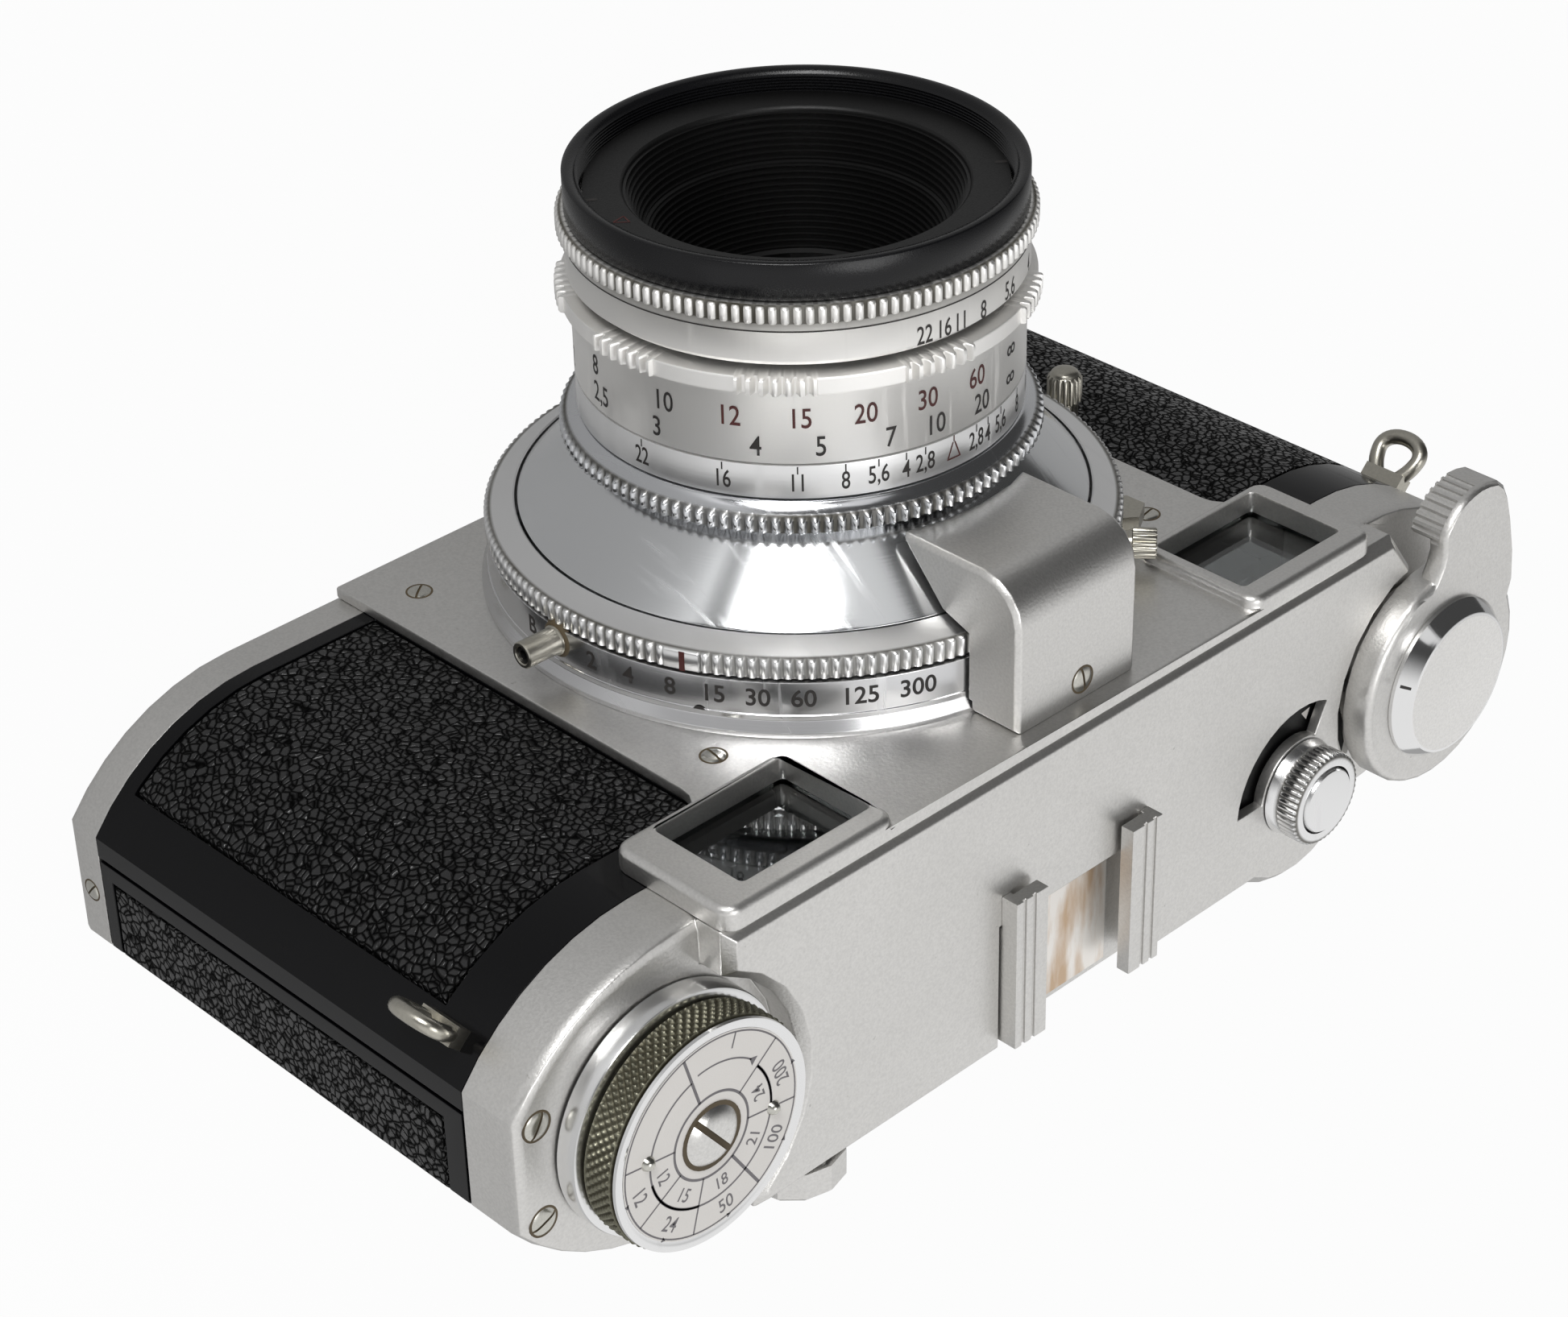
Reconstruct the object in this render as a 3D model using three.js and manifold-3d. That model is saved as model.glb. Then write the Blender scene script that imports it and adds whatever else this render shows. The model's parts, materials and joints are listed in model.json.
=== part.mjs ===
// Rangefinder camera with a leaf shutter and an interchangeable lens, in millimetres.
// +Z is up and the lens looks along -Y. The origin lies on the base plane, below the lens axis and
// in the film plane. The lens pieces and the top controls sit in groups at their own axes.
import * as THREE from "three";
import { mergeVertices } from "three/addons/utils/BufferGeometryUtils.js";
import Module from "manifold-3d";

const wasm = await Module();
wasm.setup();

// Clearances
const seatGap = 0.2;
const runningGap = 0.3;
const overcut = 2;

// Body outline in plan and its levels
const lensAxisHeight = 29;
const bodyDepth = 31.4;
const bodyBack = 8;
const rewindEnd = 66.2;
const windEnd = -62.8;
const cornerRadius = 23.5;
const cornerRun = 19;
const basePlateHeight = 4.4;
const basePlateRound = 1.1;
const roundedShare = 0.25;
const blackBodyHeight = 51.5;
const housingHeight = 10.1;
const recessDepth = 3.7;
const bodyFront = bodyBack - bodyDepth;
const castingTop = basePlateHeight + blackBodyHeight;
const topPlane = castingTop + housingHeight;
const recessFloor = topPlane - recessDepth;

// Body casting
const seamSetback = 12;
const coverWall = 1.6;
const coverGap = 0.8;
const coreBackSetback = 1.2;
const chamberFloor = 1.5;
const chamberRoof = 3.6;
const cassetteRadius = 12.7;
const takeUpX = -47.5;
const takeUpY = -7.2;
const takeUpRadius = 11.6;
const sprocketX = -28;
const sprocketY = -6.2;
const sprocketPocketRadius = 7.3;
const gateWidth = 36;
const gateHeight = 24;
const lensHoleRadius = 16;
const lensHoleDepth = 5;
const darkBoxFront = 25;
const railLength = 50;
const railWidth = 1.6;
const railGap = 1.8;
const seamY = bodyFront + seamSetback;
const coreInset = coverWall + coverGap;
const chamberBottom = basePlateHeight + chamberFloor;
const chamberTop = castingTop - chamberRoof;

// Leather
const leatherThickness = 0.6;
const leatherBottomMargin = 2.1;
const leatherTopMargin = 6.1;
const leatherEndMargin = 3.9;
const backRim = 2.2;

// Front plate and its two window frames
const plateThickness = 1.2;
const plateRight = 34.3;
const plateLeft = -35.1;
const plateBottom = 0.5;
const plateFillet = 3;
const frameCorner = 1.6;
const frameRise = 1.2;
const frameEdge = 0.45;
const frameHeight = 14.3;
const viewfinderFrame = [25.2, 45.2];
const rangefinderFrame = [-40, -22];
const viewfinderOpening = [26, 41.15];
const rangefinderOpening = [-37.7, -23.5];
const windowSill = 1;
const windowHeight = 10.8;
const glassRebate = 0.5;
const glassThickness = 0.8;
const glassPocketDepth = 1.3;
const plateFront = bodyFront - plateThickness;
const frameBottom = topPlane - frameHeight;
const windowBottom = frameBottom + windowSill;
const windowTop = windowBottom + windowHeight;

// Top housing
const housingRound = 1.2;
const plateauRound = 1;
const rewindX = 50.4;
const rewindY = -7.2;
const rewindRecessShift = [0.8, 1.4];
const rewindRecessRadius = 14.4;
const shoulderX = 45.2;
const backShoulderX = 42.5;
const hubX = -49.5;
const hubY = -6;
const hubRecessRadius = 12.3;
const shoulderAngleShare = 0.44;
const windShoulderX = -43.7;
const releaseX = -30.4;
const releaseY = -1;
const bulgeRadius = 10.9;
const housingWall = 1.2;
const counterWindow = [5.33, 9];
const counterWindowAngles = [-116, -2];
const opticsTop = 3.4;
const opticsFront = 1.5;
const opticsDepth = 12.5;
const opticsEnds = [-39, 43.5];
const opticsBlockShare = 0.5;
const eyepieceX = 33.8;
const eyepieceRadius = 5;
const eyepieceProud = 3.5;
const eyepieceTubeRadius = 4.2;
const eyepieceBore = 3.3;
const eyepieceBevelShare = 0.2;
const rewindCentre = [rewindX + rewindRecessShift[0], rewindY + rewindRecessShift[1]];
const housingMiddle = castingTop + housingHeight / 2;

// Accessory shoe
const shoeRight = 12;
const shoeLeft = -7.8;
const shoeWall = 1.1;
const shoeLip = 4.15;
const shoeLipThickness = 1.5;
const shoeRailHeight = 1.9;
const shoeRailFront = -10;
const shoeBack = 6.4;
const shoeFloorFront = -6.5;
const shoeFloorDrop = 1.6;
const shoeFloorThickness = 0.9;
const shoeWellBottom = topPlane - shoeFloorDrop - shoeFloorThickness;

// Rangefinder cam cover
const coverRight = 8.34;
const coverLeft = -7.43;
const coverTopDrop = 1.8;
const coverFrontY = -39.8;
const coverFillet = 4.5;

// Strap lugs
const lugReach = 6;
const lugHeight = 8;
const lugEyeRadius = 2.9;
const lugHole = 1.75;
const lugThickness = 2;
const lugEdge = 0.4;
const lugDrop = 0.3;

// Tripod socket
const socketY = -10;
const socketFlangeRadius = 8;
const socketFlange = 1.6;
const socketTubeRadius = 5;
const socketBore = 3.1;
const socketDepth = 6;

// Hinged back
const hingeRadius = 1.5;
const hingePinRadius = 0.7;
const hingeKnuckleLength = 9;
const pressureWidth = 50;
const pressureCentre = 5;
const pressureHeight = 36;
const pressureThickness = 1;
const pressureFilmGap = 0.35;
const springWidth = 10;
const springLength = 34;
const springThickness = 0.3;

// Rewind knob with its reminder dial
const knobRadius = 11.1;
const knobHeight = 3.2;
const knobTeeth = 36;
const knobToothDepth = 0.45;
const flangeRadius = 11.7;
const flangeHeight = 2.3;
const flangeBevelShare = 0.3;
const dialThickness = 0.35;
const rewindShaftRadius = 2.8;
const forkLength = 6;
const forkWidth = 1.6;
const forkSlotShare = 0.6;
const dialScrewRadius = 2.6;
const dialScrewHeight = 0.8;
const dialStemShare = 0.5;
const dialPinRadius = 0.75;
const dialPinHeight = 0.7;
const dialPinCircle = 7.4;
const knobBottom = flangeHeight + runningGap + seatGap;
const knobTop = knobBottom + knobHeight;
const dialTop = knobTop + seatGap / 2 + dialThickness;

// Release and frame counter
const collarRadius = 4.86;
const collarFoot = 5.04;
const collarHeight = 3.4;
const collarFootShare = 0.3;
const collarTeeth = 20;
const collarToothDepth = 0.3;
const collarBore = 3.6;
const collarNeck = 4.3;
const buttonRise = 0.35;
const buttonTravel = 2;
const counterRadius = 9.2;
const counterThickness = 0.5;
const counterDrop = 0.35;
const counterNotches = 16;
const counterNotchDepth = 0.3;

// Wind lever
const leverRadius = 11.8;
const leverThickness = 3;
const leverTop = 2.5;
const leverEdge = 0.8;
const armThickness = 2.2;
const hubBossRadius = 8;
const hubShaftRadius = 3.5;
const hubShaftLength = 5;
const hubCapRadius = 8.58;
const hubCapTopRadius = 7.38;
const hubCapHeight = 2;
const hubCapRim = 0.45;
const gripDrop = 2;
const gripGrooveCount = 9;
const gripGrooveRadius = 0.32;
const gripGrooveShares = [0.265, 0.45];

// Film transport inside the body
const spoolCoreRadius = 5.5;
const spoolFlangeRadius = 10.6;
const spoolFlange = 1.2;
const spoolSlotWidth = 1.6;
const sprocketRadius = 6.05;
const sprocketTeeth = 8;
const sprocketToothHeight = 0.9;
const sprocketToothWidth = 1.4;
const sprocketWaistRadius = 4.2;
const perforationSpan = 28.2;
const sprocketRimWidth = 4.6;

// Lens tube, the size that the rings of the lens and the shutter are built round
const lensTubeRadius = 18;
const lensTubeWall = 1.4;
const ringBore = lensTubeRadius + runningGap;
const tubeBore = lensTubeRadius - lensTubeWall;

// Lens rings, by how far each stands out from the ring or the tube inside it
const depthNeckWall = 1.3;
const depthRingWall = 2.5;
const depthRingDepth = 3.3;
const lockRingStep = 1.7;
const lockKnurlDepth = 1.35;
const lockBevelDepth = 1.3;
const lockTeeth = 40;
const lockToothDepth = 0.45;
const focusBarrelDepth = 7.25;
const focusFlangeStep = 1.4;
const focusFlangeRootStep = 0.6;
const focusFlangeDepth = 1.7;
const focusGripGroups = 9;
const focusGripTeeth = 5;
const focusGripShare = 0.5;
const focusRetract = 0.3;
const apertureScaleStep = 0.3;
const apertureScaleDepth = 4.5;
const apertureKnurlStep = 0.7;
const apertureKnurlDepth = 1.7;
const apertureTeeth = 40;
const apertureToothDepth = 0.45;
const rimStep = 0.2;
const rimWall = 1.4;
const rimDepth = 3.55;
const rimLip = 0.65;
const depthNeckRadius = ringBore + depthNeckWall;
const depthRingRadius = ringBore + depthRingWall;
const lockRingBore = depthNeckRadius + runningGap;
const lockRingRadius = depthRingRadius + lockRingStep;
const focusFlangeRadius = depthRingRadius + focusFlangeStep;
const focusFlangeRoot = depthRingRadius + focusFlangeRootStep;
const apertureScaleRadius = depthRingRadius + apertureScaleStep;
const apertureKnurlRadius = apertureScaleRadius + apertureKnurlStep;
const rimRadius = depthRingRadius + rimStep;
const rimBore = rimRadius - rimWall;

// Shutter, from the cone under the lens to the drum's rim
const coneTopStep = 0.4;
const coneSpread = 6.6;
const coneHeight = 6.5;
const coneBoreStep = 0.5;
const speedFaceWidth = 3.1;
const speedRingStep = 0.1;
const speedKnurlDepth = 2.3;
const faceRise = 0.88;
const speedTeeth = 48;
const speedToothDepth = 0.45;
const mountGap = 0.3;
const baseRingStep = 0.7;
const baseRingDepth = 1;
const barrelDepth = 5.4;
const spigotGap = 0.4;
const spigotWall = 2.1;
const spigotDepth = 3;
const coneTopRadius = lockRingBore + coneTopStep;
const coneBaseRadius = coneTopRadius + coneSpread;
const coneBore = lensTubeRadius - coneBoreStep;
const barrelRadius = coneBaseRadius + speedFaceWidth;
const speedRingRadius = barrelRadius + speedRingStep;
const baseRingRadius = barrelRadius + baseRingStep;
const spigotRadius = lensHoleRadius - spigotGap;
const shutterBore = spigotRadius - spigotWall;

// Glasses, their cells and the iris, inside the lens tube
const nameRingGap = 0.4;
const nameRingDrop = 1.95;
const baffleGap = 0.5;
const baffleStepShares = [0.36, 0.4];
const baffleWall = 0.9;
const baffleDepth = 12.5;
const glassSeat = 5.6;
const frontGlassDepth = 4.6;
const glassBulge = 1.6;
const webDepth = 6;
const irisBlades = 6;
const irisBladeThickness = 0.25;
const irisLayer = 0.38;
const irisInset = 0.9;
const irisBladeWidth = 3.7;
const irisSweep = 105;
const irisStopAngle = 25;
const rearCellDepth = 2.8;
const rearCellWall = 6.6;
const nameRingRadius = rimBore - nameRingGap;
const nameRingInner = tubeBore - baffleWall / 2 - baffleGap;
const glassRadius = tubeBore - glassSeat - seatGap;
const irisInner = glassRadius - irisInset;
const irisOuter = irisInner + irisBladeWidth;
const rearCellRadius = tubeBore - seatGap;
const rearCellBore = rearCellRadius - rearCellWall;
const rearGlassRadius = rearCellBore - seatGap;

// Fittings on the shutter's rim
const syncRadius = 1.3;
const syncReach = 3.4;
const syncBore = 0.6;
const syncAngle = -2.5;
const syncDepth = 4.1;
const leverTabAngle = 141;
const fittingAngle = 129;
const fittingRadius = 1.6;
const fittingReach = 3.2;
const tabWidth = 4.16;
const postAngle = 178;
const postRadius = 1.7;
const postHeight = 4.6;
const postReach = 5.6;
const postTeeth = 10;
const postToothDepth = 0.25;

// Places along the lens axis, from the front plate outwards
const barrelFrontY = plateFront - barrelDepth;
const speedBackY = barrelFrontY - seatGap;
const speedFrontY = speedBackY - speedKnurlDepth;
const coneBaseY = speedFrontY - faceRise;
const coneFrontY = coneBaseY - coneHeight;
const lockBackY = coneFrontY - 2 * mountGap;
const lockFrontY = lockBackY - lockKnurlDepth;
const lockBevelY = lockFrontY - lockBevelDepth;
const depthBackY = lockBevelY - seatGap;
const depthFrontY = depthBackY - depthRingDepth;
const focusBackY = depthFrontY - seatGap;
const focusFlangeY = focusBackY - focusBarrelDepth;
const focusFrontY = focusFlangeY - focusFlangeDepth;
const apertureBackY = focusFrontY - focusRetract - runningGap;
const apertureKnurlY = apertureBackY - apertureScaleDepth;
const apertureFrontY = apertureKnurlY - apertureKnurlDepth;
const rimBackY = apertureFrontY - seatGap;
const rimFrontY = rimBackY - rimDepth;
const nameRingY = rimFrontY + nameRingDrop;
const lensTubeBackY = coneFrontY - focusRetract - runningGap;
const baffleBackY = nameRingY + baffleDepth;
const webFrontY = baffleBackY + seatGap;
const webBackY = webFrontY + webDepth;
const irisFrontY = webBackY + seatGap;
const rearCellFrontY = irisFrontY + irisBlades * irisLayer + seatGap;

// Facets
const roundSteps = 32;
const innerSteps = 18;
const smallSteps = 12;
const bodyCornerSteps = 7;
const cornerSteps = 4;
const springSteps = 8;
const pinSteps = 8;
const toothSides = 4;
const grooveSides = 6;
const irisSteps = 6;
const mergeTolerance = 1e-4;
const quarterTurn = Math.PI / 2;

// Looks
const satinSilver = { color: 0xb9bbbd, metalness: 0.85, roughness: 0.38 };
const brightSilver = { color: 0xd6d8da, metalness: 0.95, roughness: 0.18 };
const blackEnamel = { color: 0x0d0e10, metalness: 0.1, roughness: 0.2 };
const blackLeather = { color: 0x1b1b1c, metalness: 0, roughness: 0.65 };
const mattBlack = { color: 0x151515, metalness: 0.2, roughness: 0.7 };
const dialWhite = { color: 0xd9dad6, metalness: 0.3, roughness: 0.5 };
const brass = { color: 0xb08a4a, metalness: 0.9, roughness: 0.4 };
const nickel = { color: 0xa49f92, metalness: 0.9, roughness: 0.35 };
const clearGlass = { color: 0x2a3136, metalness: 0, roughness: 0.05 };
const springSteel = { color: 0x7d7f83, metalness: 0.9, roughness: 0.35 };

// A closed geometry as a solid with its faces pointing out.
function solid(geometry) {
  const bare = geometry.index ? geometry.toNonIndexed() : geometry.clone();
  bare.deleteAttribute("normal");
  bare.deleteAttribute("uv");
  const merged = mergeVertices(bare, mergeTolerance);
  const corners = merged.index.array;
  const faces = [];
  for (let i = 0; i < corners.length; i += 3) {
    const [a, b, c] = corners.slice(i, i + 3);
    if (a !== b && b !== c && c !== a) faces.push(a, b, c);
  }
  const vertProperties = merged.attributes.position.array;
  const build = (order) =>
    new wasm.Manifold(
      new wasm.Mesh({ numProp: 3, vertProperties, triVerts: new Uint32Array(order) }),
    );
  const made = build(faces);
  return made.volume() < 0 ? build(faces.reverse()) : made;
}

const join = (first, ...others) => others.reduce((sum, other) => sum.add(other), first);
const cut = (first, ...others) => others.reduce((rest, other) => rest.subtract(other), first);
const radians = THREE.MathUtils.degToRad;

function piece(name, shape, look) {
  const { vertProperties, triVerts } = shape.getMesh();
  const geometry = new THREE.BufferGeometry();
  geometry.setAttribute("position", new THREE.BufferAttribute(vertProperties, 3));
  geometry.setIndex(new THREE.BufferAttribute(triVerts, 1));
  geometry.computeVertexNormals();
  const mesh = new THREE.Mesh(geometry, new THREE.MeshStandardMaterial(look));
  mesh.name = name;
  return mesh;
}

function block([x0, x1], [y0, y1], [z0, z1]) {
  const box = new THREE.BoxGeometry(x1 - x0, y1 - y0, z1 - z0);
  return solid(box.translate((x0 + x1) / 2, (y0 + y1) / 2, (z0 + z1) / 2));
}

function extrusion(shape, from, to, edge = 0) {
  const geometry = new THREE.ExtrudeGeometry(shape, {
    depth: to - from - 2 * edge,
    curveSegments: cornerSteps,
    bevelEnabled: edge > 0,
    bevelThickness: edge,
    bevelSize: edge,
    bevelOffset: -edge,
    bevelSegments: 1,
  });
  return geometry.translate(0, 0, from + edge);
}

// An outline in x and y, raised from one height to another.
const raised = (shape, z0, z1, edge) => solid(extrusion(shape, z0, z1, edge));

// An outline in x and z, running from y0 to y1.
function facing(shape, y0, y1, edge) {
  return solid(extrusion(shape, -y1, -y0, edge).rotateX(quarterTurn));
}

// An outline in y and z, running from x0 to x1.
function sideways(shape, x0, x1, edge) {
  return solid(extrusion(shape, x0, x1, edge).rotateY(quarterTurn).rotateX(quarterTurn));
}

function turning(profile, steps) {
  const points = profile.map(([radius, place]) => new THREE.Vector2(radius, place));
  const onAxis = profile[0][0] === 0 && profile.at(-1)[0] === 0;
  return new THREE.LatheGeometry(onAxis ? points : [...points, points[0].clone()], steps);
}

// A profile of [radius, y] corners turned about Y, for the lens.
const lensTurned = (profile, steps = roundSteps) => solid(turning(profile, steps));

// A profile of [radius, z] corners turned about an upright axis, for the knobs.
function knobTurned(profile, steps = roundSteps, x = 0, y = 0) {
  return solid(turning(profile, steps).rotateX(quarterTurn).translate(x, y, 0));
}

const tube = (inner, outer, from, to) => [
  [inner, from],
  [outer, from],
  [outer, to],
  [inner, to],
];

const rod = (radius, from, to) => [
  [0, from],
  [radius, from],
  [radius, to],
  [0, to],
];

function arcPoints(x, y, radius, start, end, steps = cornerSteps) {
  return Array.from({ length: steps + 1 }, (_, i) => {
    const angle = start + ((end - start) * i) / steps;
    return new THREE.Vector2(x + radius * Math.cos(angle), y + radius * Math.sin(angle));
  });
}

// A rim of straight teeth: each has one tip and one root.
function toothedOutline(count, tip, depth) {
  return Array.from({ length: 2 * count }, (_, i) => {
    const angle = (i * Math.PI) / count;
    const radius = i % 2 ? tip - depth : tip;
    return new THREE.Vector2(radius * Math.cos(angle), radius * Math.sin(angle));
  });
}

function withHole(outline, radius, steps = roundSteps) {
  const shape = new THREE.Shape(outline);
  shape.holes.push(new THREE.Path(arcPoints(0, 0, radius, 0, 2 * Math.PI, steps).slice(1)));
  return shape;
}

// A closed stack of outlines with the same number of points, one above the other.
function stacked(levels) {
  const count = levels[0].points.length;
  const positions = levels.flatMap(({ points, z }) => points.flatMap((p) => [p.x, p.y, z]));
  const indices = [];
  for (let level = 0; level + 1 < levels.length; level += 1) {
    for (let i = 0; i < count; i += 1) {
      const a = level * count + i;
      const b = level * count + ((i + 1) % count);
      indices.push(a, b, a + count, b, b + count, a + count);
    }
  }
  const top = (levels.length - 1) * count;
  for (const [a, b, c] of THREE.ShapeUtils.triangulateShape(levels[0].points, [])) {
    indices.push(a, c, b);
  }
  for (const [a, b, c] of THREE.ShapeUtils.triangulateShape(levels.at(-1).points, [])) {
    indices.push(top + a, top + b, top + c);
  }
  const geometry = new THREE.BufferGeometry();
  geometry.setAttribute("position", new THREE.Float32BufferAttribute(positions, 3));
  return geometry.setIndex(indices);
}

// The body's outline in plan: straight front and back, rounded corners and flat end facets.
function bodyOutline(inset) {
  const radius = cornerRadius - inset;
  const sweep = Math.asin((cornerRun - inset) / radius);
  const right = rewindEnd - cornerRun;
  const left = windEnd + cornerRun;
  const front = bodyFront + cornerRadius;
  const back = bodyBack - cornerRadius;
  return [
    ...arcPoints(right, front, radius, -quarterTurn, sweep - quarterTurn, bodyCornerSteps),
    ...arcPoints(right, back, radius, quarterTurn - sweep, quarterTurn, bodyCornerSteps),
    ...arcPoints(left, back, radius, quarterTurn, quarterTurn + sweep, bodyCornerSteps),
    ...arcPoints(left, front, radius, -quarterTurn - sweep, -quarterTurn, bodyCornerSteps),
  ];
}

const bodyPrism = (inset, z0, z1) => raised(new THREE.Shape(bodyOutline(inset)), z0, z1);

function roundedBody(levels) {
  return solid(stacked(levels.map(([inset, z]) => ({ points: bodyOutline(inset), z }))));
}

// A block long and deep enough to hold the whole body between two heights and two depths.
function across([y0, y1], [z0, z1]) {
  return block([windEnd - bodyDepth, rewindEnd + bodyDepth], [y0, y1], [z0, z1]);
}

// A skin of the body's sides between two insets.
function bodySkin(outer, inner, z0, z1) {
  return cut(bodyPrism(outer, z0, z1), bodyPrism(inner, z0 - overcut, z1 + overcut));
}

// Base and tripod socket

function basePlate() {
  const plate = roundedBody([
    [basePlateRound, 0],
    [basePlateRound * roundedShare, basePlateRound * roundedShare],
    [0, basePlateRound],
    [0, basePlateHeight],
  ]);
  const flangeSeat = rod(socketFlangeRadius + seatGap, -overcut, socketFlange + seatGap);
  const tubeHole = rod(socketTubeRadius + seatGap, -overcut, basePlateHeight + overcut);
  return cut(
    plate,
    knobTurned(flangeSeat, innerSteps, 0, socketY),
    knobTurned(tubeHole, smallSteps, 0, socketY),
  );
}

function tripodSocket() {
  const profile = [
    [socketBore, 0],
    [socketFlangeRadius, 0],
    [socketFlangeRadius, socketFlange],
    [socketTubeRadius, socketFlange],
    [socketTubeRadius, socketDepth],
    [socketBore, socketDepth],
  ];
  return knobTurned(profile, innerSteps, 0, socketY);
}

// Body casting

// The dark box: a round mouth behind the lens, then a funnel to the film gate.
function darkBox() {
  const funnel = (width, height, y) => {
    const half = [width / 2, height / 2];
    const corners = [
      [-half[0], -half[1]],
      [half[0], -half[1]],
      [half[0], half[1]],
      [-half[0], half[1]],
    ];
    return { points: corners.map(([x, z]) => new THREE.Vector2(x, z + lensAxisHeight)), z: -y };
  };
  const mouthY = bodyFront + lensHoleDepth;
  const bellow = stacked([
    funnel(gateWidth, gateHeight, overcut),
    funnel(gateWidth, gateHeight, 0),
    funnel(darkBoxFront, darkBoxFront, mouthY),
  ]);
  const mouth = turning(rod(lensHoleRadius, bodyFront - overcut, mouthY + seatGap), innerSteps);
  return join(
    solid(bellow.rotateX(quarterTurn)),
    solid(mouth.translate(0, 0, lensAxisHeight)),
  );
}

// A round chamber that is open to the back.
function chamber(x, y, radius) {
  const round = knobTurned(rod(radius, chamberBottom, chamberTop), innerSteps, x, y);
  return join(round, block([x - radius, x + radius], [y, bodyBack], [chamberBottom, chamberTop]));
}

function sprocketPocket() {
  const half = perforationSpan / 2 + sprocketRimWidth + runningGap;
  const heights = [lensAxisHeight - half, lensAxisHeight + half];
  const round = knobTurned(rod(sprocketPocketRadius, ...heights), smallSteps, sprocketX, sprocketY);
  const sides = [sprocketX - sprocketPocketRadius, sprocketX + sprocketPocketRadius];
  return join(round, block(sides, [sprocketY, bodyBack], heights));
}

function filmRails() {
  const inner = gateHeight / 2 + railGap;
  const back = -coreBackSetback - overcut;
  const rail = (z) => block([-railLength / 2, railLength / 2], [back, 0], [z, z + railWidth]);
  return [rail(lensAxisHeight + inner), rail(lensAxisHeight - inner - railWidth)];
}

function leatherSpan(side) {
  return side > 0
    ? [plateRight + seatGap, rewindEnd - leatherEndMargin]
    : [windEnd + leatherEndMargin, plateLeft - seatGap];
}

function frontSkin(side, depth, margin) {
  const [x0, x1] = leatherSpan(side);
  const z0 = basePlateHeight + leatherBottomMargin - margin;
  const z1 = castingTop - leatherTopMargin + margin;
  const field = block([x0 - margin, x1 + margin], [bodyFront - overcut, seamY - overcut], [z0, z1]);
  return bodySkin(margin > 0 ? -overcut : 0, depth, z0, z1).intersect(field);
}

function glassPocket([x0, x1]) {
  const rebate = glassRebate + seatGap;
  return block(
    [x0 - rebate, x1 + rebate],
    [bodyFront - overcut, bodyFront + glassPocketDepth],
    [windowBottom - rebate, windowTop + rebate],
  );
}

function hingeAxis() {
  return [windEnd - hingeRadius - seatGap, seamY];
}

// A knuckle round the hinge pin with a leaf to the end wall, before or behind the seam.
function hingeKnuckle(z0, z1, side) {
  const [x, y] = hingeAxis();
  const barrel = knobTurned(rod(hingeRadius, z0, z1), smallSteps, x, y);
  const leafY = side > 0 ? [y + seatGap, y + hingeRadius] : [y - hingeRadius, y - seatGap];
  const leaf = block([x, windEnd + seatGap], leafY, [z0, z1]);
  const hole = rod(hingePinRadius + seatGap, z0 - overcut, z1 + overcut);
  return cut(join(barrel, leaf), knobTurned(hole, smallSteps, x, y));
}

function hingeHeights() {
  const low = basePlateHeight + leatherBottomMargin;
  const high = castingTop - leatherTopMargin;
  return { low, high, lowKnuckle: low + hingeKnuckleLength, highKnuckle: high - hingeKnuckleLength };
}

function bodyCasting() {
  const front = bodyPrism(0, basePlateHeight, castingTop).intersect(
    across([bodyFront - overcut, seamY - seatGap], [0, topPlane]),
  );
  const core = bodyPrism(coreInset, basePlateHeight, castingTop).intersect(
    across([bodyFront - overcut, -coreBackSetback], [0, topPlane]),
  );
  const { low, high, lowKnuckle, highKnuckle } = hingeHeights();
  const shaftHole = rod(rewindShaftRadius + runningGap, chamberBottom, castingTop + overcut);
  const socketHole = rod(socketTubeRadius + seatGap, 0, socketDepth + seatGap);
  const windowStep = (opening) =>
    block(opening, [bodyFront, bodyFront + opticsFront + overcut], [windowBottom, topPlane]);
  return cut(
    join(
      front,
      core,
      ...filmRails(),
      hingeKnuckle(low, lowKnuckle, -1),
      hingeKnuckle(highKnuckle, high, -1),
    ),
    darkBox(),
    chamber(rewindX, rewindY, cassetteRadius),
    chamber(takeUpX, takeUpY, takeUpRadius),
    sprocketPocket(),
    frontSkin(1, leatherThickness + seatGap, runningGap),
    frontSkin(-1, leatherThickness + seatGap, runningGap),
    knobTurned(shaftHole, smallSteps, rewindX, rewindY),
    knobTurned(socketHole, smallSteps, 0, socketY),
    glassPocket(viewfinderOpening),
    glassPocket(rangefinderOpening),
    windowStep(viewfinderOpening),
    windowStep(rangefinderOpening),
  );
}

// Front plate

function plateOutline() {
  const [, right] = viewfinderFrame;
  const [left] = rangefinderFrame;
  const hollowZ = frameBottom - plateFillet;
  const cornerZ = frameBottom + frameCorner;
  const topCornerZ = topPlane - frameCorner;
  return new THREE.Shape([
    new THREE.Vector2(plateLeft, plateBottom),
    new THREE.Vector2(plateRight, plateBottom),
    ...arcPoints(plateRight + plateFillet, hollowZ, plateFillet, Math.PI, quarterTurn),
    ...arcPoints(right - frameCorner, cornerZ, frameCorner, -quarterTurn, 0),
    ...arcPoints(right - frameCorner, topCornerZ, frameCorner, 0, quarterTurn),
    ...arcPoints(left + frameCorner, topCornerZ, frameCorner, quarterTurn, Math.PI),
    ...arcPoints(left + frameCorner, cornerZ, frameCorner, Math.PI, 3 * quarterTurn),
    ...arcPoints(plateLeft - plateFillet, hollowZ, plateFillet, quarterTurn, 0),
  ]);
}

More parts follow.
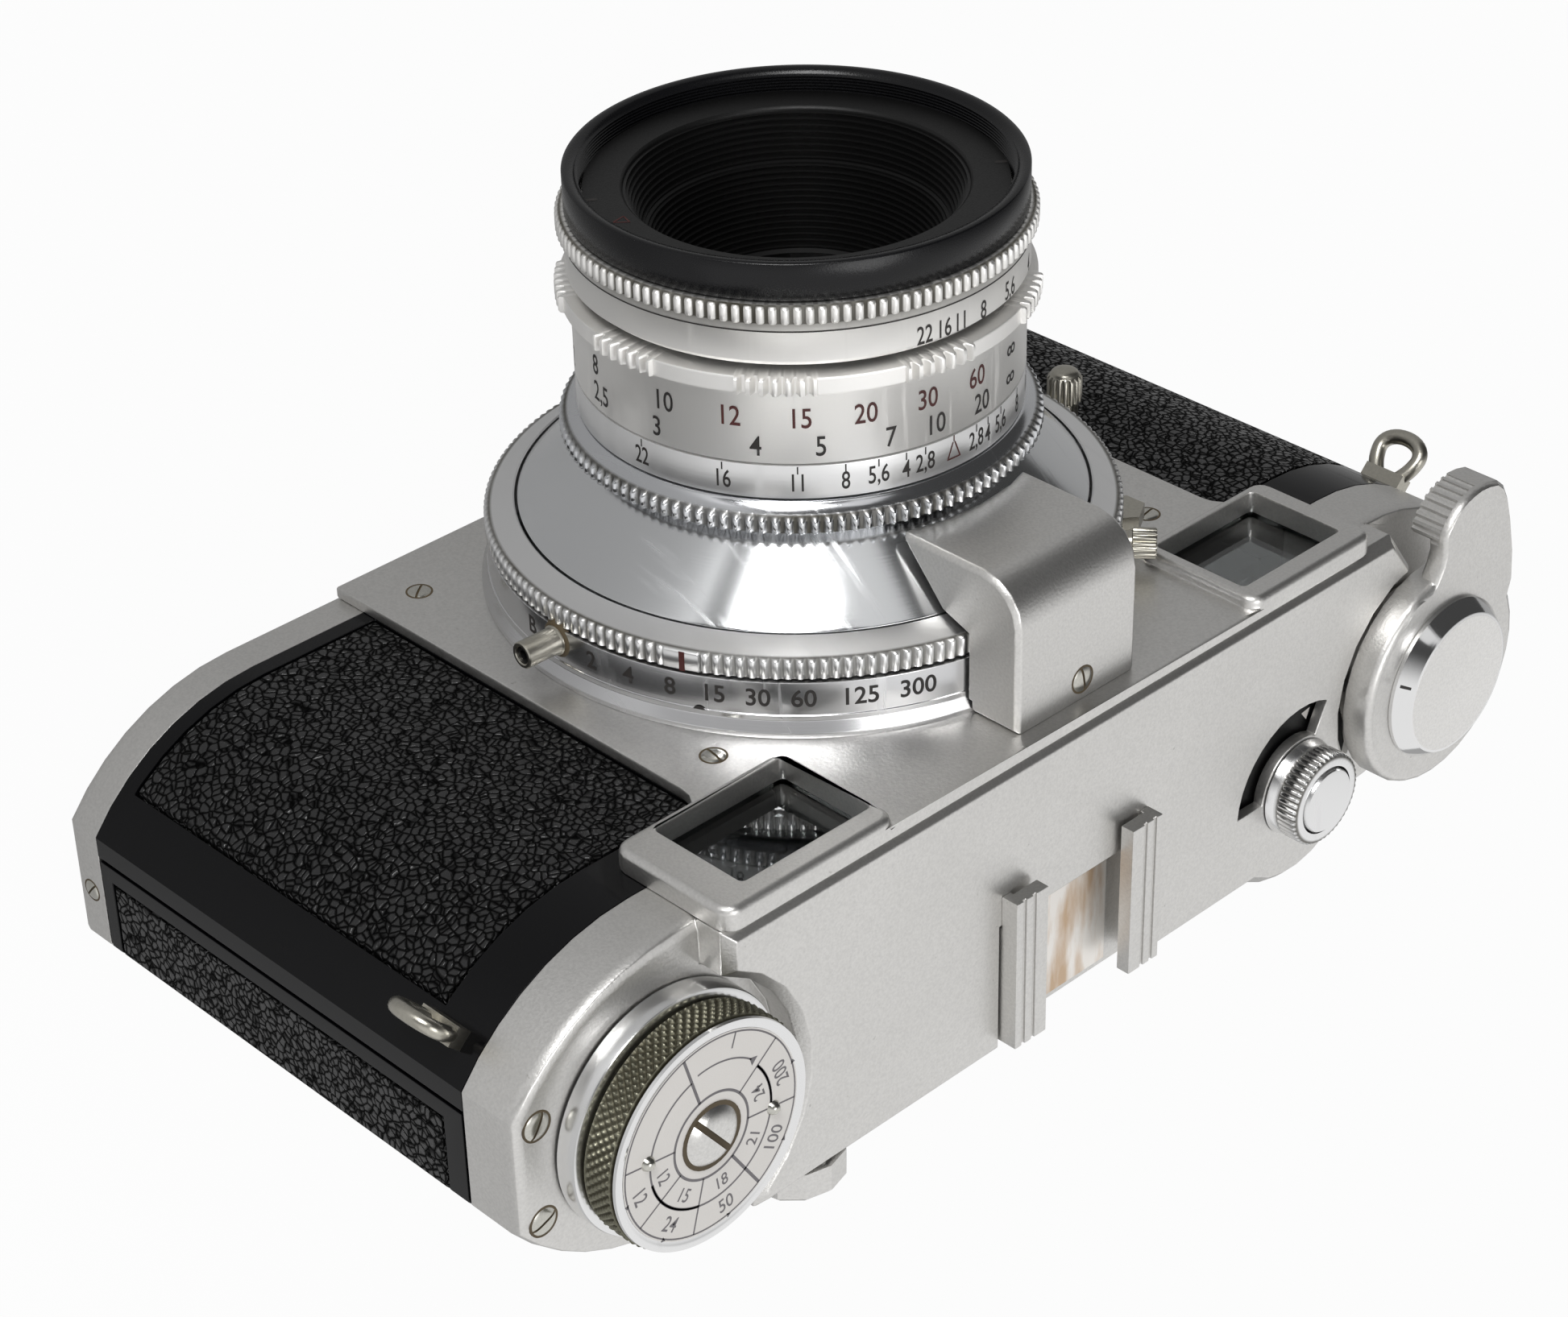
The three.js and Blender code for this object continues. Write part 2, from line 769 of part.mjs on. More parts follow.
function roundedRectangle([x0, x1], [z0, z1], radius) {
  return [
    ...arcPoints(x1 - radius, z0 + radius, radius, -quarterTurn, 0),
    ...arcPoints(x1 - radius, z1 - radius, radius, 0, quarterTurn),
    ...arcPoints(x0 + radius, z1 - radius, radius, quarterTurn, Math.PI),
    ...arcPoints(x0 + radius, z0 + radius, radius, Math.PI, 3 * quarterTurn),
  ];
}

function windowFrame(frame) {
  const outline = roundedRectangle(frame, [frameBottom, topPlane], frameCorner);
  return facing(new THREE.Shape(outline), plateFront - frameRise, bodyFront, frameEdge);
}

function windowHole(opening) {
  const outline = roundedRectangle(opening, [windowBottom, windowTop], glassRebate);
  return facing(new THREE.Shape(outline), plateFront - frameRise - overcut, bodyFront + overcut);
}

function frontPlate() {
  const lensHole = turning(rod(lensHoleRadius, plateFront - overcut, 0), innerSteps);
  return cut(
    join(
      facing(plateOutline(), plateFront, bodyFront),
      windowFrame(viewfinderFrame),
      windowFrame(rangefinderFrame),
    ),
    solid(lensHole.translate(0, 0, lensAxisHeight)),
    windowHole(viewfinderOpening),
    windowHole(rangefinderOpening),
  );
}

function windowGlass([x0, x1]) {
  return block(
    [x0 - glassRebate, x1 + glassRebate],
    [bodyFront + seatGap, bodyFront + seatGap + glassThickness],
    [windowBottom - glassRebate, windowTop + glassRebate],
  );
}

// Top housing

// Where two circles in plan meet, on the side that the given sign picks.
function circlesMeet([x0, y0, r0], [x1, y1, r1], side) {
  const apart = Math.hypot(x1 - x0, y1 - y0);
  const along = (r0 ** 2 - r1 ** 2 + apart ** 2) / (2 * apart);
  const off = side * Math.sqrt(r0 ** 2 - along ** 2);
  const direction = [(x1 - x0) / apart, (y1 - y0) / apart];
  return [
    x0 + along * direction[0] - off * direction[1],
    y0 + along * direction[1] + off * direction[0],
  ];
}

const bearing = ([x, y], [centreX, centreY]) => Math.atan2(y - centreY, x - centreX);

// The raised middle of the housing in plan: scooped round the rewind knob and the wind lever,
// with a round bulge behind the frame counter.
function plateauOutline() {
  const [scoopX, scoopY] = rewindCentre;
  const scoopStart = Math.acos((scoopX - shoulderX) / rewindRecessRadius);
  const scoopEnd = Math.acos((scoopX - backShoulderX) / rewindRecessRadius);
  const hub = [hubX, hubY];
  const release = [releaseX, releaseY];
  const bulgeStart = Math.asin((bodyBack - releaseY) / bulgeRadius);
  const meet = circlesMeet([...release, bulgeRadius], [...hub, hubRecessRadius], -1);
  const frontAngle = -quarterTurn * (1 - shoulderAngleShare / 4);
  return new THREE.Shape([
    new THREE.Vector2(shoulderX, bodyFront),
    ...arcPoints(
      scoopX,
      scoopY,
      rewindRecessRadius,
      -Math.PI + scoopStart,
      -Math.PI - scoopEnd,
      2 * cornerSteps,
    ),
    new THREE.Vector2(backShoulderX, bodyBack),
    ...arcPoints(...release, bulgeRadius, bulgeStart, bearing(meet, release), 2 * cornerSteps),
    ...arcPoints(...hub, hubRecessRadius, bearing(meet, hub), frontAngle, 2 * cornerSteps).slice(1),
    new THREE.Vector2(windShoulderX, bodyFront),
  ]);
}

// The hollow behind the windows, which also leads to the eyepiece.
function opticsHollow() {
  const heights = [castingTop - overcut, topPlane - opticsTop];
  const front = bodyFront + opticsFront;
  const main = block(opticsEnds, [bodyFront + glassPocketDepth - seatGap, front + opticsDepth], heights);
  const sight = [eyepieceX - eyepieceTubeRadius - seatGap, eyepieceX + eyepieceTubeRadius + seatGap];
  const toEyepiece = block(sight, [front, bodyBack - housingWall], heights);
  const keepOut = (x, y, radius) =>
    knobTurned(rod(radius + housingWall, 0, topPlane + overcut), innerSteps, x, y);
  return cut(
    join(main, toEyepiece),
    keepOut(...rewindCentre, rewindRecessRadius),
    keepOut(hubX, hubY, hubRecessRadius),
    keepOut(releaseX, releaseY, bulgeRadius - housingWall),
  );
}

function counterSlot() {
  const [inner, outer] = counterWindow;
  const [start, end] = counterWindowAngles.map(radians);
  const outline = [
    ...arcPoints(releaseX, releaseY, outer, start, end, smallSteps),
    ...arcPoints(releaseX, releaseY, inner, end, start, smallSteps),
  ];
  return raised(new THREE.Shape(outline), topPlane - housingWall - overcut, topPlane + overcut);
}

function eyepieceCut(radius, y0, y1) {
  const hole = turning(rod(radius, y0, y1), smallSteps);
  return solid(hole.translate(eyepieceX, 0, housingMiddle));
}

function topHousing() {
  const slab = roundedBody([
    [0, castingTop],
    [0, recessFloor - housingRound],
    [housingRound * roundedShare, recessFloor - housingRound * roundedShare],
    [housingRound, recessFloor],
  ]);
  const plateau = raised(plateauOutline(), recessFloor - housingRound, topPlane, plateauRound);
  const bulge = rod(bulgeRadius, castingTop, topPlane - 2 * plateauRound);
  const counterHollow = rod(bulgeRadius - housingWall, castingTop - overcut, topPlane - housingWall);
  const collarHole = rod(collarNeck + runningGap, castingTop, topPlane + overcut);
  const hubHole = rod(hubShaftRadius + runningGap, recessFloor - hubShaftLength, topPlane);
  const shaftHole = rod(rewindShaftRadius + runningGap, 0, topPlane);
  return cut(
    join(slab, plateau, knobTurned(bulge, innerSteps, releaseX, releaseY)),
    opticsHollow(),
    glassPocket(viewfinderOpening),
    glassPocket(rangefinderOpening),
    knobTurned(counterHollow, innerSteps, releaseX, releaseY),
    knobTurned(collarHole, smallSteps, releaseX, releaseY),
    counterSlot(),
    knobTurned(hubHole, smallSteps, hubX, hubY),
    knobTurned(shaftHole, smallSteps, rewindX, rewindY),
    eyepieceCut(eyepieceTubeRadius + seatGap, 0, bodyBack + overcut),
    block(
      [shoeLeft - seatGap, shoeRight + seatGap],
      [shoeFloorFront - seatGap, bodyBack + overcut],
      [shoeWellBottom, topPlane + overcut],
    ),
  );
}

function eyepieceRing() {
  const bevel = eyepieceProud * eyepieceBevelShare;
  const profile = [
    [eyepieceBore, bodyBack - housingWall],
    [eyepieceTubeRadius, bodyBack - housingWall],
    [eyepieceTubeRadius, bodyBack],
    [eyepieceRadius, bodyBack],
    [eyepieceRadius, bodyBack + eyepieceProud - bevel],
    [eyepieceRadius - bevel, bodyBack + eyepieceProud],
    [eyepieceBore, bodyBack + eyepieceProud],
  ];
  return solid(turning(profile, smallSteps).translate(eyepieceX, 0, housingMiddle));
}

function eyepieceLens() {
  return eyepieceCut(eyepieceBore - seatGap / 2, bodyBack, bodyBack + eyepieceProud / 2);
}

// The half mirror block behind the viewfinder window.
function beamSplitter() {
  const side = opticsDepth * opticsBlockShare;
  const y = bodyFront + opticsFront + opticsDepth / 2;
  const x = eyepieceX - side / 4;
  const heights = [castingTop, topPlane - opticsTop - seatGap];
  return block([x - side / 2, x + side / 2], [y - side / 2, y + side / 2], heights);
}

// The right-angle prism behind the rangefinder window, about its own pivot.
function swingingPrism() {
  const side = opticsDepth * opticsBlockShare;
  const outline = [
    new THREE.Vector2(-side / 2, -side / 2),
    new THREE.Vector2(side / 2, -side / 2),
    new THREE.Vector2(side / 2, side / 2),
  ];
  return raised(new THREE.Shape(outline), castingTop + seatGap, topPlane - opticsTop - seatGap);
}

function prismPivot() {
  const [left, right] = rangefinderOpening;
  return [(left + right) / 2, bodyFront + opticsFront + opticsDepth / 2];
}

function accessoryShoe() {
  const lipBottom = topPlane + shoeRailHeight - shoeLipThickness;
  const railTop = topPlane + shoeRailHeight;
  const rail = (outer, inward) => {
    const wallSpan = [outer, outer + inward * shoeWall].sort((a, b) => a - b);
    const lipSpan = [outer, outer + inward * shoeLip].sort((a, b) => a - b);
    return join(
      block(wallSpan, [shoeRailFront, shoeBack], [topPlane, railTop]),
      block(wallSpan, [shoeFloorFront, shoeBack], [shoeWellBottom, railTop]),
      block(lipSpan, [shoeRailFront, shoeBack], [lipBottom, railTop]),
    );
  };
  const floor = block(
    [shoeLeft, shoeRight],
    [shoeFloorFront, shoeBack],
    [shoeWellBottom, shoeWellBottom + shoeFloorThickness],
  );
  return join(floor, rail(shoeRight, -1), rail(shoeLeft, 1));
}

// The box over the rangefinder cam, cut to the shape of the shutter below it.
function rangefinderCover() {
  const top = topPlane - coverTopDrop;
  const filletY = coverFrontY + coverFillet;
  const side = new THREE.Shape([
    new THREE.Vector2(plateFront, lensAxisHeight),
    new THREE.Vector2(plateFront, top),
    ...arcPoints(filletY, top - coverFillet, coverFillet, quarterTurn, Math.PI),
    new THREE.Vector2(coverFrontY, lensAxisHeight),
  ]);
  const clear = [
    [0, plateFront + overcut],
    [baseRingRadius + runningGap, plateFront + overcut],
    [baseRingRadius + runningGap, plateFront - baseRingDepth - runningGap],
    [barrelRadius + 2 * runningGap, plateFront - baseRingDepth - runningGap],
    [barrelRadius + 2 * runningGap, speedFrontY - runningGap],
    [coneBaseRadius + 2 * runningGap, coneBaseY - 2 * runningGap],
    [coneTopRadius + 2 * runningGap, coneFrontY - overcut],
    [0, coneFrontY - overcut],
  ];
  const shutter = turning(clear, roundSteps).translate(0, 0, lensAxisHeight);
  return cut(sideways(side, coverLeft, coverRight, frameEdge), solid(shutter));
}

// Strap lugs, square to the rounded front corners

function strapLug() {
  const half = lugHeight / 2;
  const eye = lugReach - lugEyeRadius;
  const outline = new THREE.Shape([
    new THREE.Vector2(seatGap, -half),
    ...arcPoints(eye, 0, lugEyeRadius, -quarterTurn, quarterTurn, 2 * cornerSteps),
    new THREE.Vector2(seatGap, half),
  ]);
  outline.holes.push(new THREE.Path(arcPoints(eye, 0, lugHole, 0, 2 * Math.PI, smallSteps).slice(1)));
  return facing(outline, -lugThickness / 2, lugThickness / 2, lugEdge);
}

function placeLug(mesh, side) {
  const centreX = side > 0 ? rewindEnd - cornerRun : windEnd + cornerRun;
  const reach = cornerRadius * Math.SQRT1_2;
  const z = castingTop - lugDrop - lugHeight / 2;
  mesh.position.set(centreX + side * reach, bodyFront + cornerRadius - reach, z);
  mesh.rotation.z = side > 0 ? -quarterTurn / 2 : quarterTurn / 2 - 2 * quarterTurn;
  return mesh;
}

// Hinged back

function backShell() {
  const z0 = basePlateHeight + seatGap;
  const z1 = castingTop - seatGap;
  const { lowKnuckle, highKnuckle } = hingeHeights();
  const shell = bodySkin(0, coverWall, z0, z1).intersect(
    across([seamY + seatGap, bodyBack + overcut], [z0, z1]),
  );
  const knuckle = hingeKnuckle(lowKnuckle + seatGap, highKnuckle - seatGap, 1);
  return cut(join(shell, knuckle), backSkin(-overcut, leatherThickness + seatGap, runningGap));
}

function backSkin(outer, inner, margin) {
  const z0 = basePlateHeight + leatherBottomMargin - margin;
  const z1 = castingTop - leatherTopMargin / 2 + margin;
  const field = block(
    [windEnd + overcut, rewindEnd + overcut],
    [seamY + backRim - margin, bodyBack + overcut],
    [z0, z1],
  );
  return bodySkin(outer, inner, z0, z1).intersect(field);
}

function hingePin() {
  const { low, high } = hingeHeights();
  return knobTurned(rod(hingePinRadius, low, high), smallSteps, ...hingeAxis());
}

function pressurePlate() {
  const half = pressureWidth / 2;
  const outline = roundedRectangle(
    [pressureCentre - half, pressureCentre + half],
    [lensAxisHeight - pressureHeight / 2, lensAxisHeight + pressureHeight / 2],
    plateFillet,
  );
  return facing(new THREE.Shape(outline), pressureFilmGap, pressureFilmGap + pressureThickness);
}

// A leaf spring bowed between the cover's wall and the pressure plate.
function pressureSpring() {
  const plateBack = pressureFilmGap + pressureThickness + seatGap;
  const wall = bodyBack - coverWall - seatGap;
  const rise = wall - plateBack - springThickness;
  const half = springLength / 2;
  const radius = (half ** 2 + rise ** 2) / (2 * rise);
  const angle = Math.asin(half / radius);
  const centre = plateBack + radius + springThickness;
  const outline = [
    ...arcPoints(pressureCentre, centre, radius, -quarterTurn - angle, angle - quarterTurn, springSteps),
    ...arcPoints(
      pressureCentre,
      centre,
      radius + springThickness,
      angle - quarterTurn,
      -quarterTurn - angle,
      springSteps,
    ),
  ];
  const heights = [lensAxisHeight - springWidth / 2, lensAxisHeight + springWidth / 2];
  return raised(new THREE.Shape(outline), ...heights);
}

// Rewind knob, about its own axis with z measured from the recess floor

function rewindFlange() {
  const rim = flangeHeight * flangeBevelShare;
  return knobTurned([
    [rewindShaftRadius + runningGap, seatGap],
    [flangeRadius, seatGap],
    [flangeRadius, flangeHeight + seatGap - rim],
    [flangeRadius - rim, flangeHeight + seatGap],
    [rewindShaftRadius + runningGap, flangeHeight + seatGap],
  ]);
}

function rewindKnob() {
  const shape = withHole(toothedOutline(knobTeeth, knobRadius, knobToothDepth), rewindShaftRadius + seatGap);
  return raised(shape, knobBottom, knobTop);
}

// The shaft runs down through the chamber's roof and ends in a fork for the cassette.
function rewindShaft() {
  const bottom = chamberTop - forkLength - recessFloor;
  const shaft = knobTurned(rod(rewindShaftRadius, bottom, knobTop), smallSteps);
  const slot = block(
    [-rewindShaftRadius - overcut, rewindShaftRadius + overcut],
    [-forkWidth / 2, forkWidth / 2],
    [bottom - overcut, bottom + forkLength * forkSlotShare],
  );
  return cut(shaft, slot);
}

function reminderDial() {
  const plate = knobTurned(
    tube(dialScrewRadius * dialStemShare, knobRadius - knobToothDepth, dialTop - dialThickness, dialTop),
  );
  const pin = (side) =>
    knobTurned(
      rod(dialPinRadius, dialTop - dialThickness, dialTop + dialPinHeight),
      pinSteps,
      side * dialPinCircle,
      0,
    );
  return join(plate, pin(1), pin(-1));
}

// The screw's domed head as shares of its radius and height.
const screwDomeShares = [
  [1, 0],
  [0.94, 0.4],
  [0.6, 0.85],
  [0, 1],
];

function dialScrew() {
  const stem = dialScrewRadius * dialStemShare - seatGap;
  const low = dialTop + seatGap / 2;
  return knobTurned(
    [
      [0, knobTop + seatGap / 2],
      [stem, knobTop + seatGap / 2],
      [stem, low],
      ...screwDomeShares.map(([r, rise]) => [dialScrewRadius * r, low + dialScrewHeight * rise]),
    ],
    smallSteps,
  );
}

// Release button, its collar and the frame counter, with z measured from the top plane

function releaseCollar() {
  const knurl = withHole(toothedOutline(collarTeeth, collarRadius, collarToothDepth), collarBore, smallSteps);
  const foot = collarHeight * collarFootShare;
  const counterSeat = housingWall + counterDrop + counterThickness + seatGap;
  const stem = knobTurned(
    [
      [collarBore, -counterSeat - housingWall],
      [collarFoot, -counterSeat - housingWall],
      [collarFoot, -counterSeat],
      [collarNeck, -counterSeat],
      [collarNeck, seatGap],
      [collarFoot, seatGap],
      [collarRadius - collarToothDepth, foot + seatGap],
      [collarBore, foot + seatGap],
    ],
    smallSteps,
  );
  return join(stem, raised(knurl, foot, collarHeight + seatGap));
}

function releaseButton() {
  const radius = collarBore - runningGap / 2;
  const top = collarHeight + seatGap + buttonRise;
  return knobTurned(
    [
      [0, castingTop - topPlane + buttonTravel + seatGap],
      [radius, castingTop - topPlane + buttonTravel + seatGap],
      [radius, top - buttonRise / 2],
      [radius - buttonRise / 2, top],
      [0, top],
    ],
    smallSteps,
  );
}

function counterDisc() {
  const top = -housingWall - counterDrop;
  const outline = toothedOutline(counterNotches, counterRadius, counterNotchDepth);
  return raised(withHole(outline, collarNeck + runningGap, smallSteps), top - counterThickness, top);
}

// Wind lever, about its hub with z measured from the top plane

// The arm's outline as shares of the lever's radius, from the disc out to the thumb grip and back.
const armShares = [
  [0.62, -0.72],
  [0.43, -0.9],
  [0.24, -0.92],
  [0.1, -1.15],
  [0.11, -1.34],
  [0.09, -1.43],
  [-0.04, -1.58],
  [-0.17, -1.65],
  [-0.38, -1.68],
  [-0.64, -1.6],
  [-0.8, -1.28],
  [-0.93, -0.6],
  [-0.8, -0.2],
];
const gripStartShare = -1.3;

function armCurve() {
  const points = armShares.map(([x, y]) => new THREE.Vector2(x * leverRadius, y * leverRadius));
  return new THREE.SplineCurve(points);
}

const armOutline = () => new THREE.Shape(armCurve().getPoints(2 * armShares.length));

// Upright grooves round the end of the thumb grip, which leave ribs between them.
function gripGrooves(bottom) {
  const curve = armCurve();
  const [start, end] = gripGrooveShares;
  return Array.from({ length: gripGrooveCount }, (_, i) => {
    const { x, y } = curve.getPointAt(start + ((end - start) * i) / (gripGrooveCount - 1));
    const groove = rod(gripGrooveRadius, bottom - overcut, leverTop - leverEdge);
    return knobTurned(groove, grooveSides, x, y);
  });
}

function windLever() {
  const bottom = leverTop - leverThickness;
  const floor = recessFloor - topPlane + runningGap;
  const disc = knobTurned([
    [0, floor],
    [hubBossRadius, floor],
    [hubBossRadius, bottom],
    [leverRadius, bottom],
    [leverRadius, leverTop - leverEdge],
    [leverRadius - leverEdge / 3, leverTop - leverEdge / 3],
    [leverRadius - leverEdge, leverTop],
    [0, leverTop],
  ]);
  const arm = raised(armOutline(), leverTop - armThickness, leverTop, leverEdge / 2);
  const gripBottom = leverTop - armThickness - gripDrop;
  const skirt = raised(armOutline(), gripBottom, leverTop - leverEdge).intersect(
    block(
      [-leverRadius, leverRadius],
      [-2 * leverRadius, gripStartShare * leverRadius],
      [-leverRadius, leverRadius],
    ),
  );
  const shaft = knobTurned(rod(hubShaftRadius, floor - hubShaftLength + overcut, floor + seatGap), smallSteps);
  return cut(join(disc, arm, skirt, shaft), ...gripGrooves(gripBottom));
}

function hubCap() {
  return knobTurned([
    [0, leverTop],
    [hubCapRadius, leverTop],
    [hubCapRadius, leverTop + hubCapRim],
    [hubCapTopRadius, leverTop + hubCapHeight],
    [0, leverTop + hubCapHeight],
  ]);
}

// Film transport

function takeUpSpool() {
  const bottom = chamberBottom + runningGap;
  const top = chamberTop - runningGap;
  const spool = knobTurned(
    [
      [0, bottom],
      [spoolFlangeRadius, bottom],
      [spoolFlangeRadius, bottom + spoolFlange],
      [spoolCoreRadius, bottom + spoolFlange],
      [spoolCoreRadius, top - spoolFlange],
      [spoolFlangeRadius, top - spoolFlange],
      [spoolFlangeRadius, top],
      [0, top],
    ],
    innerSteps,
  );
  const slot = block(
    [-spoolSlotWidth / 2, spoolSlotWidth / 2],
    [0, spoolCoreRadius + overcut],
    [lensAxisHeight - gateHeight / 2, lensAxisHeight + gateHeight / 2],
  );
  return cut(spool, slot);
}

function sprocketDrum() {
  const half = perforationSpan / 2 + sprocketRimWidth;
  const low = lensAxisHeight - half;
  const high = lensAxisHeight + half;
  const rim = sprocketRimWidth * 2;
  const drum = knobTurned(
    [
      [0, low],
      [sprocketRadius, low],
      [sprocketRadius, low + rim],
      [sprocketWaistRadius, low + rim],
      [sprocketWaistRadius, high - rim],
      [sprocketRadius, high - rim],
      [sprocketRadius, high],
      [0, high],
    ],
    innerSteps,
  );
  const teeth = [];
  for (const z of [lensAxisHeight - perforationSpan / 2, lensAxisHeight + perforationSpan / 2]) {
    for (let i = 0; i < sprocketTeeth; i += 1) {
      const tooth = new THREE.CylinderGeometry(
        sprocketToothWidth / 4,
        sprocketToothWidth / 2,
        sprocketToothHeight + overcut / 2,
        toothSides,
      );
      tooth.translate(0, sprocketRadius + sprocketToothHeight / 2 - overcut / 4, z);
      teeth.push(solid(tooth.rotateZ((i * 2 * Math.PI) / sprocketTeeth)));
    }
  }
  return join(drum, ...teeth);
}

// Shutter

function shutterBarrel() {
  const baseY = plateFront - baseRingDepth;
  return lensTurned([
    [shutterBore, plateFront + spigotDepth],
    [spigotRadius, plateFront + spigotDepth],
    [spigotRadius, plateFront],
    [baseRingRadius, plateFront],
    [baseRingRadius, baseY + seatGap],
    [barrelRadius, baseY],
    [barrelRadius, barrelFrontY],
    [shutterBore, barrelFrontY],
  ]);
}

function speedRing() {
  const inner = coneBaseRadius + runningGap;
  const knurl = withHole(toothedOutline(speedTeeth, speedRingRadius, speedToothDepth), inner);
  const face = lensTurned([
    [inner, speedFrontY + seatGap],
    [speedRingRadius - speedToothDepth, speedFrontY + seatGap],
    [speedRingRadius - speedToothDepth, speedFrontY],
    [inner, coneBaseY],
  ]);
  return join(facing(knurl, speedFrontY, speedBackY), face);
}

function shutterCone() {
  return lensTurned([
    [coneBore, speedBackY],
    [coneBaseRadius, speedBackY],
    [coneBaseRadius, coneBaseY],
    [coneTopRadius, coneFrontY],
    [coneBore, coneFrontY],
  ]);
}

// A small radial tube for the flash cable, along +X before it is turned to its place.
function syncSocket() {
  const start = barrelRadius + seatGap;
  const end = baseRingRadius + syncReach;
  const flange = syncRadius + seatGap;
  const profile = [
    [0, start],
    [flange, start],
    [flange, start + seatGap * 2],
    [syncRadius, start + seatGap * 2],
    [syncRadius, end],
    [syncBore, end],
    [syncBore, end - syncReach / 3],
    [0, end - syncReach / 3],
  ];
  return solid(turning(profile, smallSteps).rotateZ(-quarterTurn));
}

function cableFitting() {
  const start = barrelRadius + seatGap;
  const outline = toothedOutline(postTeeth, fittingRadius, postToothDepth);
  const knurled = extrusion(new THREE.Shape(outline), start, start + fittingReach);
  return solid(knurled.rotateY(quarterTurn));
}

// The tab's outline as shares of its reach and its width.
const tabShares = [
  [0, -0.5],
  [0.5, -0.5],
  [0.8, 0.1],
  [0.35, 0.5],
  [0, 0.5],
];

// A flat hooked tab that leaves the shutter's rim.
function releaseTab() {
  const start = barrelRadius + seatGap;
  const points = tabShares.map(
    ([out, across]) => new THREE.Vector2(start + out * fittingReach, across * tabWidth),
  );
  return facing(new THREE.Shape(points), -fittingRadius / 2, fittingRadius / 2);
}

// The self-timer lever: a radial arm with a ribbed post along the lens axis.
function timerLever() {
  const start = barrelRadius + seatGap;
  const end = barrelRadius + postReach;
  const arm = block([start, end], [-postRadius / 2, postRadius / 2], [-postRadius, postRadius]);
  const shape = new THREE.Shape(toothedOutline(postTeeth, postRadius, postToothDepth));
  const post = extrusion(shape, -postRadius / 2, postHeight);
  return join(arm, solid(post.rotateX(quarterTurn).translate(end, 0, 0)));
}

// Lens

function depthBarrel() {
  return lensTurned([
    [ringBore, coneFrontY - mountGap],
    [depthNeckRadius, coneFrontY - mountGap],
    [depthNeckRadius, depthBackY],
    [depthRingRadius, depthBackY],
    [depthRingRadius, depthFrontY],
    [ringBore, depthFrontY],
  ]);
}

function lockRing() {
  const knurl = withHole(toothedOutline(lockTeeth, lockRingRadius, lockToothDepth), lockRingBore);
  const bevel = lensTurned([
    [lockRingBore, lockFrontY + seatGap],
    [lockRingRadius - lockToothDepth, lockFrontY + seatGap],
    [lockRingRadius - lockToothDepth, lockFrontY],
    [depthRingRadius, lockBevelY],
    [lockRingBore, lockBevelY],
  ]);
  return join(facing(knurl, lockFrontY, lockBackY), bevel);
}

// The focusing ring's flange carries groups of ribs between smooth stretches.
function focusFlangeOutline() {
  const group = (2 * Math.PI) / focusGripGroups;
  const ribbed = group * focusGripShare;
  const points = [];
  for (let g = 0; g < focusGripGroups; g += 1) {
    const start = g * group - ribbed / 2;
    for (let i = 0; i < focusGripTeeth; i += 1) {
      const pitch = ribbed / focusGripTeeth;
      points.push([focusFlangeRoot, start + i * pitch]);
      points.push([focusFlangeRadius, start + (i + 1 / 2) * pitch]);
    }
    points.push([focusFlangeRoot, start + ribbed]);
    points.push([focusFlangeRoot, start + ribbed + (group - ribbed) / 2]);
  }
  return points.map(([r, angle]) => new THREE.Vector2(r * Math.cos(angle), r * Math.sin(angle)));
}

function focusRing() {
  const flange = facing(withHole(focusFlangeOutline(), ringBore), focusFrontY, focusFlangeY);
  return join(lensTurned(tube(ringBore, depthRingRadius, focusFrontY, focusBackY)), flange);
}

// The sliding tube that holds the glasses and the iris.
function lensHead() {
  const flangeY = rimBackY + seatGap / 2;
  const seatY = nameRingY + baffleWall / 2;
  const stopRadius = rimBore - seatGap;
  return lensTurned([
    [tubeBore, lensTubeBackY],
    [lensTubeRadius, lensTubeBackY],
    [lensTubeRadius, flangeY],
    [stopRadius, flangeY],
    [stopRadius, seatY],
    [tubeBore, seatY],
    [tubeBore, webFrontY],
    [glassRadius + seatGap, webFrontY],
    [glassRadius + seatGap, webBackY],
    [tubeBore, webBackY],
  ], innerSteps);
}

function apertureRing() {
  const teeth = toothedOutline(apertureTeeth, apertureKnurlRadius, apertureToothDepth);
  const knurl = withHole(teeth, ringBore);
  const sleeve = lensTurned([
    [ringBore, apertureBackY],
    [apertureScaleRadius, apertureBackY],
    [apertureScaleRadius, apertureKnurlY - seatGap],
    [ringBore, apertureKnurlY - seatGap],
  ]);
  return join(sleeve, facing(knurl, apertureFrontY, apertureKnurlY));
}

function filterRim() {
  return lensTurned([
    [rimBore, rimBackY],
    [rimRadius, rimBackY],
    [rimRadius, rimFrontY],
    [rimBore + rimLip, rimFrontY],
    [rimBore, rimFrontY + rimLip],
  ]);
}

